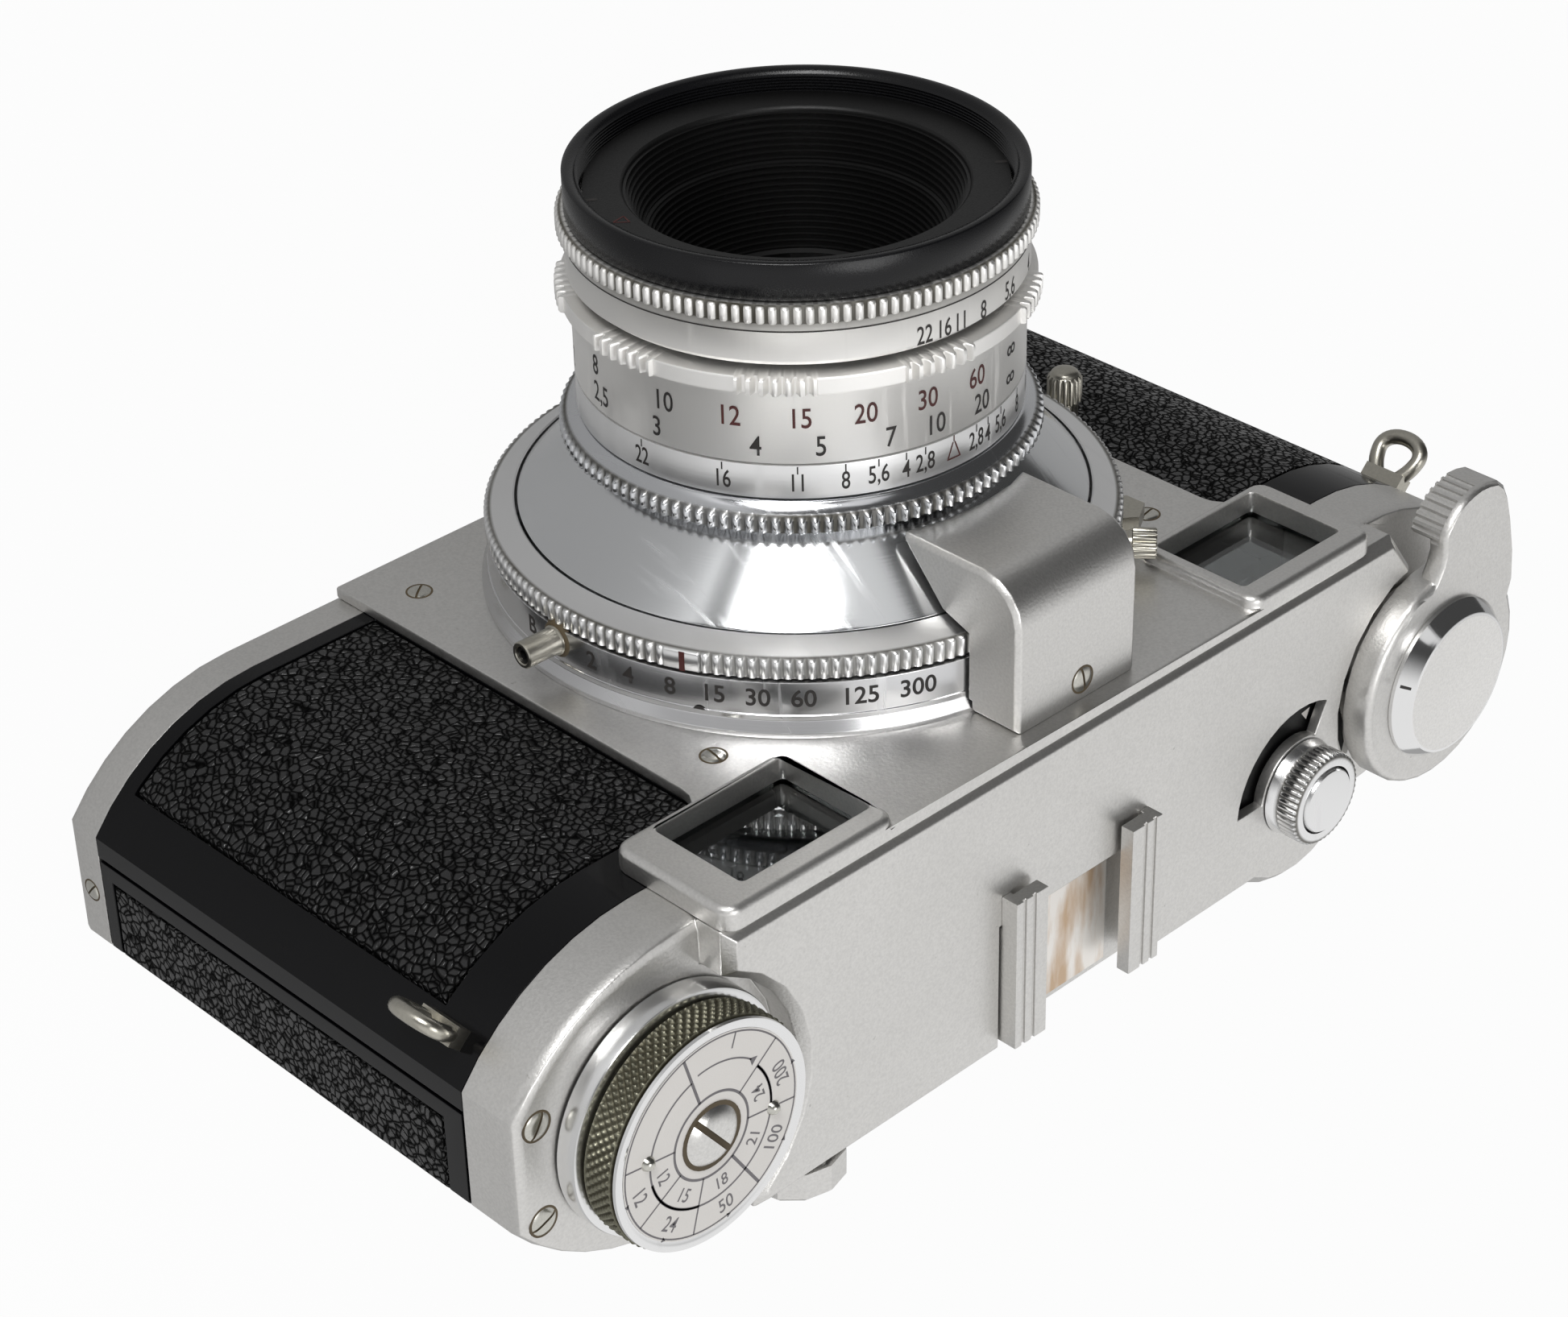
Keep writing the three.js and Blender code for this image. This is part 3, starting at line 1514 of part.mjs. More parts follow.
// The name ring and the stepped black funnel down to the front glass.
function baffleRing() {
  const backRadius = glassRadius + baffleWall / 2;
  const [stepStart, stepEnd] = baffleStepShares;
  const at = (share) => nameRingInner + (backRadius - nameRingInner) * share;
  const stepY = (share) => nameRingY + baffleDepth * share;
  return lensTurned([
    [nameRingRadius, nameRingY],
    [nameRingInner, nameRingY],
    [at(stepStart), stepY(stepStart)],
    [at(stepStart) - baffleWall, stepY(stepEnd)],
    [backRadius - baffleWall / 2, baffleBackY],
    [backRadius + baffleWall / 2, baffleBackY],
    [at(stepStart), stepY(stepEnd)],
    [nameRingInner + baffleWall / 2, nameRingY + baffleWall],
    [nameRingInner + baffleWall / 2, nameRingY + baffleWall / 2],
    [nameRingRadius, nameRingY + baffleWall / 2],
  ], innerSteps);
}

function domedGlass(radius, frontY, backY) {
  const domeShares = [
    [0.35, 0.12],
    [0.7, 0.49],
    [1, 1],
  ];
  const dome = domeShares.map(([r, drop]) => [radius * r, frontY + glassBulge * drop]);
  return lensTurned([[0, frontY], ...dome, [radius, backY], [0, backY]], innerSteps);
}

// One crescent of the iris, about its own pivot.
function irisBlade() {
  const middle = (irisInner + irisOuter) / 2;
  const half = (irisOuter - irisInner) / 2;
  const sweep = radians(irisSweep);
  const outline = new THREE.Shape([
    ...arcPoints(-middle, 0, irisOuter, 0, sweep, irisSteps),
    ...arcPoints(-middle, 0, irisInner, sweep, 0, irisSteps),
    ...arcPoints(0, 0, half, Math.PI, 2 * Math.PI).slice(1, -1),
  ]);
  return facing(outline, -irisBladeThickness, 0);
}

function rearCell() {
  const profile = tube(rearCellBore, rearCellRadius, rearCellFrontY, rearCellFrontY + rearCellDepth);
  return lensTurned(profile, innerSteps);
}

// Assembly

const camera = new THREE.Group();

function addBody() {
  camera.add(
    piece("base_plate", basePlate(), satinSilver),
    piece("tripod_socket", tripodSocket(), nickel),
    piece("body_casting", bodyCasting(), blackEnamel),
    piece("front_leather_rewind", frontSkin(1, leatherThickness, 0), blackLeather),
    piece("front_leather_wind", frontSkin(-1, leatherThickness, 0), blackLeather),
    piece("front_plate", frontPlate(), satinSilver),
    piece("viewfinder_window", windowGlass(viewfinderOpening), clearGlass),
    piece("rangefinder_window", windowGlass(rangefinderOpening), clearGlass),
    piece("top_housing", topHousing(), satinSilver),
    piece("eyepiece_ring", eyepieceRing(), satinSilver),
    piece("eyepiece_lens", eyepieceLens(), clearGlass),
    piece("beam_splitter", beamSplitter(), clearGlass),
    piece("accessory_shoe", accessoryShoe(), satinSilver),
    piece("rangefinder_cover", rangefinderCover(), satinSilver),
    placeLug(piece("strap_lug_rewind", strapLug(), satinSilver), 1),
    placeLug(piece("strap_lug_wind", strapLug(), satinSilver), -1),
  );
  const prism = piece("rangefinder_prism", swingingPrism(), clearGlass);
  prism.position.set(...prismPivot(), 0);
  camera.add(prism);
}

function addBack() {
  camera.add(
    piece("back_cover", backShell(), blackEnamel),
    piece("back_leather", backSkin(0, leatherThickness, 0), blackLeather),
    piece("hinge_pin", hingePin(), nickel),
    piece("pressure_plate", pressurePlate(), mattBlack),
    piece("pressure_spring", pressureSpring(), springSteel),
  );
}

function addRewind() {
  const rewind = new THREE.Group();
  rewind.position.set(rewindX, rewindY, recessFloor);
  rewind.add(
    piece("rewind_flange", rewindFlange(), satinSilver),
    piece("rewind_knob", rewindKnob(), nickel),
    piece("rewind_shaft", rewindShaft(), nickel),
    piece("reminder_dial", reminderDial(), dialWhite),
    piece("dial_screw", dialScrew(), brightSilver),
  );
  camera.add(rewind);
}

function addRelease() {
  const release = new THREE.Group();
  release.position.set(releaseX, releaseY, topPlane);
  release.add(
    piece("release_collar", releaseCollar(), satinSilver),
    piece("release_button", releaseButton(), satinSilver),
    piece("counter_disc", counterDisc(), mattBlack),
  );
  camera.add(release);
}

function addWind() {
  const wind = new THREE.Group();
  wind.position.set(hubX, hubY, topPlane);
  wind.add(piece("wind_lever", windLever(), satinSilver), piece("wind_hub_cap", hubCap(), brightSilver));
  camera.add(wind);
  const spool = piece("take_up_spool", takeUpSpool(), mattBlack);
  spool.position.set(takeUpX, takeUpY, 0);
  const drum = piece("sprocket_drum", sprocketDrum(), brass);
  drum.position.set(sprocketX, sprocketY, 0);
  camera.add(spool, drum);
}

// A piece made along +X at the shutter's rim, turned to its angle there.
function atRim(mesh, degrees, depth) {
  mesh.position.y = plateFront - depth;
  mesh.rotation.y = -radians(degrees);
  return mesh;
}

function addShutter(lens) {
  lens.add(
    piece("shutter_barrel", shutterBarrel(), brightSilver),
    piece("speed_ring", speedRing(), brightSilver),
    piece("shutter_cone", shutterCone(), brightSilver),
    atRim(piece("sync_socket", syncSocket(), nickel), syncAngle, syncDepth),
    atRim(piece("cable_fitting", cableFitting(), nickel), fittingAngle, barrelDepth / 2),
    atRim(piece("release_tab", releaseTab(), nickel), leverTabAngle, barrelDepth / 2),
    atRim(piece("timer_lever", timerLever(), nickel), postAngle, barrelDepth / 2),
  );
}

function addLens(lens) {
  lens.add(
    piece("depth_of_field_barrel", depthBarrel(), brightSilver),
    piece("lock_ring", lockRing(), brightSilver),
    piece("focus_ring", focusRing(), brightSilver),
    piece("lens_head", lensHead(), mattBlack),
    piece("aperture_ring", apertureRing(), brightSilver),
    piece("filter_rim", filterRim(), blackEnamel),
    piece("baffle_ring", baffleRing(), mattBlack),
    piece("front_glass", domedGlass(glassRadius, webFrontY, webFrontY + frontGlassDepth), clearGlass),
    piece("rear_cell", rearCell(), mattBlack),
    piece(
      "rear_glass",
      domedGlass(rearGlassRadius, rearCellFrontY, rearCellFrontY + rearCellDepth),
      clearGlass,
    ),
  );
  const pivotCircle = (irisInner + irisOuter) / 2;
  for (let i = 0; i < irisBlades; i += 1) {
    const angle = (i * 2 * Math.PI) / irisBlades;
    const blade = piece(`iris_blade_${i + 1}`, irisBlade(), mattBlack);
    const y = irisFrontY + i * irisLayer + irisBladeThickness;
    blade.position.set(pivotCircle * Math.cos(angle), y, pivotCircle * Math.sin(angle));
    blade.rotation.y = -angle - radians(irisStopAngle);
    lens.add(blade);
  }
}

addBody();
addBack();
addRewind();
addRelease();
addWind();
const lensGroup = new THREE.Group();
lensGroup.position.z = lensAxisHeight;
addShutter(lensGroup);
addLens(lensGroup);
camera.add(lensGroup);

export default camera;
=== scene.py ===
# %% [markdown]
# # A rangefinder camera, dressed over its CAD frame
# The CAD model gives every part its place, its size and its motion. This notebook gives the parts
# the finish of the real thing: turned and knurled rings, bead-blasted chrome, black enamel and
# grained leather. All lengths are typed in millimetres and multiplied by MM once.

# %% Load the frame
import json
import math

import bmesh
import bpy
from mathutils import Matrix, Vector

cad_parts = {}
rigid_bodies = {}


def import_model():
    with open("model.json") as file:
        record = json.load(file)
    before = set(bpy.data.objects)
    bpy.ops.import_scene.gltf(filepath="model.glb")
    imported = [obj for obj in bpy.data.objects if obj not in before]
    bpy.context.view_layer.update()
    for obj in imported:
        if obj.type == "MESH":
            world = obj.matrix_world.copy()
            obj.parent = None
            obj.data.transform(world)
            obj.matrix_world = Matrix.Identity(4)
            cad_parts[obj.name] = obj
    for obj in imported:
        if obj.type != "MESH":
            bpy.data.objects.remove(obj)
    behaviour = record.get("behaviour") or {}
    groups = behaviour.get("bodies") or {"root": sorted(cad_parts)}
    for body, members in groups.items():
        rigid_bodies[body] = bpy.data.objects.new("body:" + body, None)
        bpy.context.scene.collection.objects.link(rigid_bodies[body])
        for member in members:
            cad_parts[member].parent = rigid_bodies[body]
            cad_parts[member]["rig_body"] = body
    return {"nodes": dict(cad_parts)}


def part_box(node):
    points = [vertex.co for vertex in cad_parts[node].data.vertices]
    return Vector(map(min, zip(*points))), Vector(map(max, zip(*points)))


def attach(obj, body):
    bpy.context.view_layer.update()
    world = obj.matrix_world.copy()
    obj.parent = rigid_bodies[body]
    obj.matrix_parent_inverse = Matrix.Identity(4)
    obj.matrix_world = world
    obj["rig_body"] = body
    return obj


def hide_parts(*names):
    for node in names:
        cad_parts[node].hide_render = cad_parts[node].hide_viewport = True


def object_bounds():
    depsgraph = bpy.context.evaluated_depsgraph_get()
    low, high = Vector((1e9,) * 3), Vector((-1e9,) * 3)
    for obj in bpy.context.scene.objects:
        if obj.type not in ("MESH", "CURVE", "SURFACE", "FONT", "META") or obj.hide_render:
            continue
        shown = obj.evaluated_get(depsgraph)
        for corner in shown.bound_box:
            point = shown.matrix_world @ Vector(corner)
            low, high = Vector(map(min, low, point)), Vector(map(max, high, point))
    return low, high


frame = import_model()
cad_low, cad_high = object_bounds()
MM = 0.001
LENS_HEIGHT = 29.0
LENS = (0, 0, LENS_HEIGHT)
ORIGIN = (0, 0, 0)
print("CAD box in mm:", [round(v / MM, 1) for v in cad_high - cad_low])

# %% [markdown]
# ## Where the photographer stood
# The picture was solved from the circles of the lens and the straight edges of the body, so the
# camera is given as a place and three directions. The body lies on its back there, and so the
# picture's "up" is mostly out of the lens. A roll like that is easiest to set as a matrix.

# %% Camera
PHOTO_PLACE = Vector((205.21, -203.39, 242.48)) * MM
PHOTO_RIGHT = Vector((-0.71637, 0.02145, 0.69739))
PHOTO_DOWN = Vector((0.38973, 0.84136, 0.37446))
PHOTO_LENS = 83.23
FILM_WIDTH = 36


def in_scene(name, data):
    """A new object, linked into the scene."""
    thing = bpy.data.objects.new(name, data)
    bpy.context.scene.collection.objects.link(thing)
    return thing


def photo_camera():
    data = bpy.data.cameras.new("photo_camera")
    data.lens = PHOTO_LENS
    data.sensor_width = FILM_WIDTH
    data.clip_start = 0.01
    data.clip_end = 10
    camera = in_scene("photo_camera", data)
    forward = PHOTO_RIGHT.cross(-PHOTO_DOWN)
    turn = Matrix((PHOTO_RIGHT, -PHOTO_DOWN, forward)).transposed().to_4x4()
    camera.matrix_world = Matrix.Translation(PHOTO_PLACE) @ turn
    bpy.context.scene.camera = camera
    return camera


print("camera at", [round(v, 3) for v in photo_camera().location])

# %% [markdown]
# ## Node groups that several finishes share
# Dirt gathers where fingers can't wipe: in the roots of a knurl. On a piece that was turned on a
# lathe that is a matter of the distance from its axis, so one group measures that distance and
# turns it into a mask. The same distance also draws the fine circles that the cutting tool left.
# Blasted and worn metal is noise at two scales.

# %% Shader helpers
FLOAT = "NodeSocketFloat"
VECTOR = "NodeSocketVector"


def linked(tree, kind, inputs, **settings):
    """A new node with its settings made and its inputs linked or filled in."""
    node = tree.nodes.new(kind)
    for key, value in settings.items():
        setattr(node, key, value)
    for key, value in inputs.items():
        socket = node.inputs[key]
        if isinstance(value, bpy.types.NodeSocket):
            tree.links.new(value, socket)
        else:
            socket.default_value = value
    return node


def feed(tree, node, **sockets):
    """Links sockets to a node's inputs. A _ in a name stands for a space."""
    for key, socket in sockets.items():
        tree.links.new(socket, node.inputs[key.replace("_", " ")])


def reckoned(tree, operation, first, second, **settings):
    """Arithmetic on two values."""
    node = linked(
        tree, "ShaderNodeMath", {0: first, 1: second}, operation=operation, **settings
    )
    return node.outputs[0]


def reckoned_vector(tree, operation, *vectors):
    """Arithmetic on vectors. A length or a dot product gives a value."""
    node = linked(tree, "ShaderNodeVectorMath", dict(enumerate(vectors)), operation=operation)
    return node.outputs["Value" if operation in ("LENGTH", "DOT_PRODUCT") else "Vector"]


def scaled(tree, value, low, high, start=0.0, end=1.0, **settings):
    """A value between start and end, stretched to lie between low and high."""
    inputs = {"Value": value, "From Min": start, "From Max": end, "To Min": low, "To Max": high}
    return linked(tree, "ShaderNodeMapRange", inputs, **settings).outputs["Result"]


def noisy(tree, place, scale, detail, output="Fac"):
    inputs = {"Vector": place, "Scale": scale, "Detail": detail}
    return linked(tree, "ShaderNodeTexNoise", inputs).outputs[output]


def own_place(tree):
    """A point's place in its object's own frame."""
    return tree.nodes.new("ShaderNodeTexCoord").outputs["Object"]


def new_group(name, inputs, outputs):
    """An empty node group whose outputs are all values."""
    tree = bpy.data.node_groups.new(name, "ShaderNodeTree")
    for label, kind, value in inputs:
        socket = tree.interface.new_socket(label, in_out="INPUT", socket_type=kind)
        socket.default_value = value
    for label in outputs:
        tree.interface.new_socket(label, in_out="OUTPUT", socket_type=FLOAT)
    return tree, tree.nodes.new("NodeGroupInput").outputs, tree.nodes.new("NodeGroupOutput")


def use(tree, group, **values):
    """The outputs of a node group, with some of its inputs filled in."""
    node = tree.nodes.new("ShaderNodeGroup")
    node.node_tree = group
    for key, value in values.items():
        node.inputs[key.replace("_", " ")].default_value = value
    return node.outputs


# %% The groups
RING_SCALE = 3000.0
SPECK_SCALE = 1400.0
SPECK_EDGE = 0.08
AXIS_INPUTS = [("Centre", VECTOR, (0, 0, 0)), ("Across", VECTOR, (1, 0, 1))]


def axis_distance_group():
    """Radius is the distance from a line through Centre. Across is 1 in the two ways across it."""
    tree, given, out = new_group("axis distance", AXIS_INPUTS, ["Radius", "Along"])
    off = reckoned_vector(tree, "SUBTRACT", own_place(tree), given["Centre"])
    flat = reckoned_vector(tree, "MULTIPLY", off, given["Across"])
    rest = reckoned_vector(tree, "SUBTRACT", off, flat)
    radius = reckoned_vector(tree, "LENGTH", flat)
    feed(tree, out, Radius=radius, Along=reckoned_vector(tree, "DOT_PRODUCT", rest, (1, 1, 1)))
    return tree


def turned_group(distance):
    """Rings is a relief of fine circles about the axis, and Root a mask of a knurl's floor."""
    radii = [("Root", FLOAT, 0.020), ("Tip", FLOAT, 0.021)]
    tree, given, out = new_group("turned metal", AXIS_INPUTS + radii, ["Rings", "Root"])
    axis = tree.nodes.new("ShaderNodeGroup")
    axis.node_tree = distance
    feed(tree, axis, Centre=given["Centre"], Across=given["Across"])
    radius, along = axis.outputs["Radius"], axis.outputs["Along"]
    pair = linked(tree, "ShaderNodeCombineXYZ", {0: radius, 1: along}).outputs[0]
    below_tip = scaled(tree, radius, 0.0, 1.0, given["Tip"], given["Root"])
    inner = reckoned(tree, "SUBTRACT", given["Root"], 0.35 * MM)
    outer = reckoned(tree, "SUBTRACT", given["Root"], 0.10 * MM)
    above_floor = scaled(tree, radius, 0.0, 1.0, inner, outer)
    root = reckoned(tree, "MULTIPLY", below_tip, above_floor)
    feed(tree, out, Rings=noisy(tree, pair, RING_SCALE, 3.0), Root=root)
    return tree


def blotch_group():
    """Fine is the sand of a blasted surface, Cloud a slow change of tone and Spots its specks."""
    scales = [("Fine Scale", FLOAT, 6000.0), ("Cloud Scale", FLOAT, 60.0)]
    inputs = scales + [("Spot Share", FLOAT, 0.30)]
    tree, given, out = new_group("blotches", inputs, ["Fine", "Cloud", "Spots"])
    place = own_place(tree)
    speck = noisy(tree, place, SPECK_SCALE, 3.0)
    edge = reckoned(tree, "SUBTRACT", given["Spot Share"], SPECK_EDGE)
    feed(
        tree,
        out,
        Fine=noisy(tree, place, given["Fine Scale"], 2.0),
        Cloud=noisy(tree, place, given["Cloud Scale"], 6.0),
        Spots=scaled(tree, speck, 0.0, 1.0, given["Spot Share"], edge),
    )
    return tree


def scratch_group():
    """Thin scratches in two directions, from noise stretched along each."""
    tree, given, out = new_group("scratches", [("Scale", FLOAT, 900.0)], ["Scratches"])
    place = own_place(tree)
    lines = []
    for turn in ((0.3, 0.5, 0.2), (1.1, -0.4, 0.9)):
        inputs = {"Vector": place, "Rotation": turn, "Scale": (1.0, 0.06, 0.06)}
        along = linked(tree, "ShaderNodeMapping", inputs).outputs[0]
        streak = noisy(tree, along, given["Scale"], 4.0)
        lines.append(scaled(tree, streak, 0.0, 1.0, 0.62, 0.72))
    feed(tree, out, Scratches=reckoned(tree, "MAXIMUM", *lines))
    return tree


TURNED = turned_group(axis_distance_group())
BLOTCHES = blotch_group()
SCRATCHES = scratch_group()
print("node groups:", [g.name for g in bpy.data.node_groups])

# %% [markdown]
# ## Metals
# Every metal here is a Principled shader with Metallic at 1. What tells them apart is how rough
# they are, what relief breaks their highlights, and where grime darkens them.

# %% Metal finishes
SLOTS = {}
CHROME = (0.80, 0.80, 0.80, 1)
GRIME = (0.055, 0.048, 0.03, 1)
ROUND_LENS = (1, 0, 1)
ROUND_KNOB = (1, 1, 0)


def mixed(tree, factor, first, second):
    """The colour between two colours."""
    return linked(
        tree, "ShaderNodeMix", {0: factor, 6: first, 7: second}, data_type="RGBA"
    ).outputs[2]


def bump(tree, height, distance, normal=None):
    inputs = {"Height": height, "Distance": distance, "Strength": 1.0}
    if normal:
        inputs["Normal"] = normal
    return linked(tree, "ShaderNodeBump", inputs).outputs["Normal"]


def shade(colour, share):
    """A colour made darker, or paler where share is above 1."""
    return tuple(c * share for c in colour[:3]) + (1,)


def blank_material(name, slot=None, **plain):
    """A Principled material with plain values. Its slot is kept in SLOTS under its name."""
    material = bpy.data.materials.new(name)
    material.use_nodes = True
    SLOTS[name] = slot
    shader = material.node_tree.nodes["Principled BSDF"]
    for key, value in plain.items():
        shader.inputs[key.replace("_", " ")].default_value = value
    return material, material.node_tree, shader


def blasted_metal(name, slot, colour, roughness, grain):
    """Satin chrome over a blasted surface: even grain, slow stains and a few specks."""
    material, tree, shader = blank_material(name, slot, Metallic=1.0)
    spots = use(tree, BLOTCHES, Fine_Scale=3600.0, Cloud_Scale=45.0, Spot_Share=0.27)
    base = mixed(tree, scaled(tree, spots["Cloud"], 0.0, 0.9), colour, shade(colour, 0.86))
    sanded = mixed(tree, scaled(tree, spots["Fine"], -0.35, 0.75), base, shade(colour, 0.7))
    feed(
        tree,
        shader,
        Base_Color=mixed(tree, scaled(tree, spots["Spots"], 0.0, 0.4), sanded, GRIME),
        Roughness=scaled(tree, spots["Cloud"], roughness - 0.04, roughness + 0.06),
        Normal=bump(tree, spots["Fine"], grain * MM),
    )
    return material


def lens_metal(
    name, root, tip, colour=CHROME, roughness=0.14, dirt=0.85, relief=0.003,
    centre=LENS, across=ROUND_LENS, slot="bright_silver",
):
    """Metal turned about one axis, with grime between its root and tip radii. Lengths in mm."""
    material, tree, shader = blank_material(name, slot, Metallic=1.0)
    middle = tuple(c * MM for c in centre)
    lathe = use(tree, TURNED, Centre=middle, Across=across, Root=root * MM, Tip=tip * MM)
    cloud = use(tree, BLOTCHES, Cloud_Scale=120.0, Spot_Share=0.3)["Cloud"]
    scratches = use(tree, SCRATCHES)["Scratches"]
    held = scaled(tree, lathe["Root"], 0.0, dirt)
    patchy = reckoned(tree, "MULTIPLY", held, scaled(tree, cloud, 0.5, 1.4), use_clamp=True)
    wear = scaled(tree, scratches, roughness, roughness + 0.16)
    feed(
        tree,
        shader,
        Base_Color=mixed(tree, patchy, colour, GRIME),
        Roughness=reckoned(tree, "ADD", wear, scaled(tree, patchy, 0.0, 0.4)),
        Normal=bump(tree, lathe["Rings"], relief * MM),
    )
    return material


def knob_metal(name, root, tip, centre, roughness=0.2, dirt=0.8, slot="satin_silver", **more):
    """The same for a piece turned about an upright axis."""
    return lens_metal(
        name, root, tip, roughness=roughness, dirt=dirt, relief=0.004,
        centre=centre, across=ROUND_KNOB, slot=slot, **more,
    )


satin = blasted_metal("satin_chrome", "satin_silver", (0.74, 0.73, 0.71, 1), 0.38, 0.02)
cap_satin = blasted_metal("cap_satin", "satin_silver", (0.86, 0.85, 0.83, 1), 0.32, 0.008)
nickel = blasted_metal("worn_nickel", "nickel", (0.50, 0.48, 0.42, 1), 0.3, 0.006)
brass = blasted_metal("turned_brass", "brass", (0.62, 0.44, 0.19, 1), 0.3, 0.005)
steel = blasted_metal("spring_steel", "spring_steel", (0.35, 0.35, 0.36, 1), 0.3, 0.005)
screw_steel = blasted_metal("screw_steel", "bright_silver", (0.62, 0.61, 0.56, 1), 0.22, 0.003)
dial_screw_metal = blasted_metal(
    "dial_screw_metal", "bright_silver", (0.75, 0.74, 0.72, 1), 0.25, 0.004
)
print("metals ready")

# %% [markdown]
# ## Paint, leather, glass
# The enamel is black and glossy, and a little duller where it is scratched. The leather is a grain
# of small pillows with creases between them, which is a Voronoi cell pattern used as relief. Matt
# black lines the inside of the lens.

# %% Other finishes
LEATHER_CELLS = 1250.0
LEATHER_SWAY = 0.0007
CREASE = 0.24


def enamel_material():
    material, tree, shader = blank_material(
        "black_enamel", "black_enamel",
        Base_Color=(0.002, 0.002, 0.0025, 1), Specular_IOR_Level=0.2,
    )
    cloud = scaled(tree, use(tree, BLOTCHES, Cloud_Scale=90.0)["Cloud"], 0.08, 0.2)
    scratches = scaled(tree, use(tree, SCRATCHES)["Scratches"], 0, 0.15)
    feed(tree, shader, Roughness=reckoned(tree, "ADD", cloud, scratches))
    return material


def leather_material():
    """The cells' edges are creases: dark, dull and low. Noise bends them."""
    material, tree, shader = blank_material("grained_leather", "black_leather")
    place = own_place(tree)
    sway = noisy(tree, place, 500.0, 2.0, output="Color")
    bent = reckoned_vector(tree, "MULTIPLY", sway, (LEATHER_SWAY,) * 3)
    inputs = {"Vector": reckoned_vector(tree, "ADD", place, bent), "Scale": LEATHER_CELLS}
    cells = linked(tree, "ShaderNodeTexVoronoi", inputs, feature="DISTANCE_TO_EDGE")
    edge = cells.outputs["Distance"]
    pillow = scaled(tree, edge, 0.0, 1.0, 0.0, CREASE, interpolation_type="SMOOTHSTEP")
    fine = use(tree, BLOTCHES, Fine_Scale=3500.0, Cloud_Scale=80.0)["Fine"]
    feed(
        tree,
        shader,
        Base_Color=mixed(tree, pillow, (0.001, 0.001, 0.001, 1), (0.008, 0.008, 0.0085, 1)),
        Roughness=scaled(tree, pillow, 0.75, 0.24),
        Specular_IOR_Level=scaled(tree, pillow, 0.02, 0.62),
        Normal=bump(tree, pillow, 0.28 * MM, normal=bump(tree, fine, 0.02 * MM)),
    )
    return material


def matt_material(name, slot, colour, roughness, worn=1.8, shine=0.5):
    """Paint that pales in clouds."""
    material, tree, shader = blank_material(name, slot, Specular_IOR_Level=shine)
    spots = use(tree, BLOTCHES, Cloud_Scale=150.0)
    feed(
        tree,
        shader,
        Base_Color=mixed(tree, spots["Cloud"], colour, shade(colour, worn)),
        Roughness=scaled(tree, spots["Fine"], roughness - 0.1, roughness + 0.1),
        Normal=bump(tree, spots["Fine"], 0.01 * MM),
    )
    return material


def glass_material():
    material, tree, shader = blank_material(
        "clear_glass", "clear_glass", Base_Color=(0.75, 0.8, 0.8, 1),
        Transmission_Weight=1.0, Metallic=0.0, IOR=1.5, Coat_Weight=0.3,
    )
    smears = use(tree, BLOTCHES, Cloud_Scale=200.0)["Cloud"]
    feed(tree, shader, Roughness=scaled(tree, smears, 0.01, 0.04))
    return material


def ink_material(name, colour, worn):
    """Paint in engraved lettering, worn away in clouds."""
    material, tree, shader = blank_material(name)
    spots = use(tree, BLOTCHES, Spot_Share=0.42)
    rough = scaled(tree, spots["Fine"], 0.4, 0.7)
    feed(tree, shader, Base_Color=mixed(tree, spots["Cloud"], colour, worn), Roughness=rough)
    return material


enamel = enamel_material()
leather = leather_material()
clear_glass = glass_material()
matt_black = matt_material(
    "matt_black", "matt_black", (0.0025, 0.0025, 0.0025, 1), 0.45, shine=0.3
)
rim_black = matt_material(
    "rim_black", "black_enamel", (0.003, 0.003, 0.0035, 1), 0.26, shine=0.28
)
dial_white = matt_material("dial_white", "dial_white", (0.60, 0.58, 0.555, 1), 0.4, 1.06)
grime_paint = matt_material("grime_paint", None, (0.05, 0.036, 0.018, 1), 0.7)
black_ink = ink_material("black_ink", (0.006, 0.005, 0.005, 1), (0.02, 0.016, 0.014, 1))
red_ink = ink_material("red_ink", (0.085, 0.01, 0.008, 1), (0.03, 0.007, 0.006, 1))
grey_ink = ink_material("grey_ink", (0.11, 0.105, 0.11, 1), (0.16, 0.15, 0.16, 1))
print(len(bpy.data.materials), "materials")

# %% [markdown]
# ## From a bmesh to a finished piece
# Each piece ends the same way: doubles merged, normals outwards, smooth faces with sharp edges
# where two faces meet at an angle, a finish, a body to ride on, and the CAD nodes it stands for.

# %% Finishing helpers
SAME_PLACE = 2e-6


def place_of(node):
    """A node's box in mm."""
    low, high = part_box(node)
    return low / MM, high / MM


def middle_of(node):
    """The middle of a node seen from above, in mm."""
    low, high = place_of(node)
    return (low.x + high.x) / 2, (low.y + high.y) / 2, 0


def body_of(node):
    return frame["nodes"][node]["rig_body"]


def mesh_of(bm, name):
    """A mesh made from a bmesh, which is freed."""
    mesh = bpy.data.meshes.new(name)
    bm.to_mesh(mesh)
    bm.free()
    return mesh


def merge_into(target, source):
    """Adds one bmesh to another."""
    mesh = mesh_of(source, "part")
    target.from_mesh(mesh)
    bpy.data.meshes.remove(mesh)


def spun(bm, angle, axis="Z"):
    bmesh.ops.rotate(bm, verts=bm.verts, matrix=Matrix.Rotation(angle, 3, axis))
    return bm


def shifted(bm, way):
    bmesh.ops.translate(bm, verts=bm.verts, vec=way)
    return bm


def stretched(bm, factors):
    bmesh.ops.scale(bm, verts=bm.verts, vec=factors)
    return bm


def flat_finish(bm, name, body, material):
    """A piece as it is. A drawing thinner than paint is an open sheet that faces outwards."""
    piece = in_scene(name, mesh_of(bm, name))
    piece.data.materials.append(material)
    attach(piece, body)
    return piece


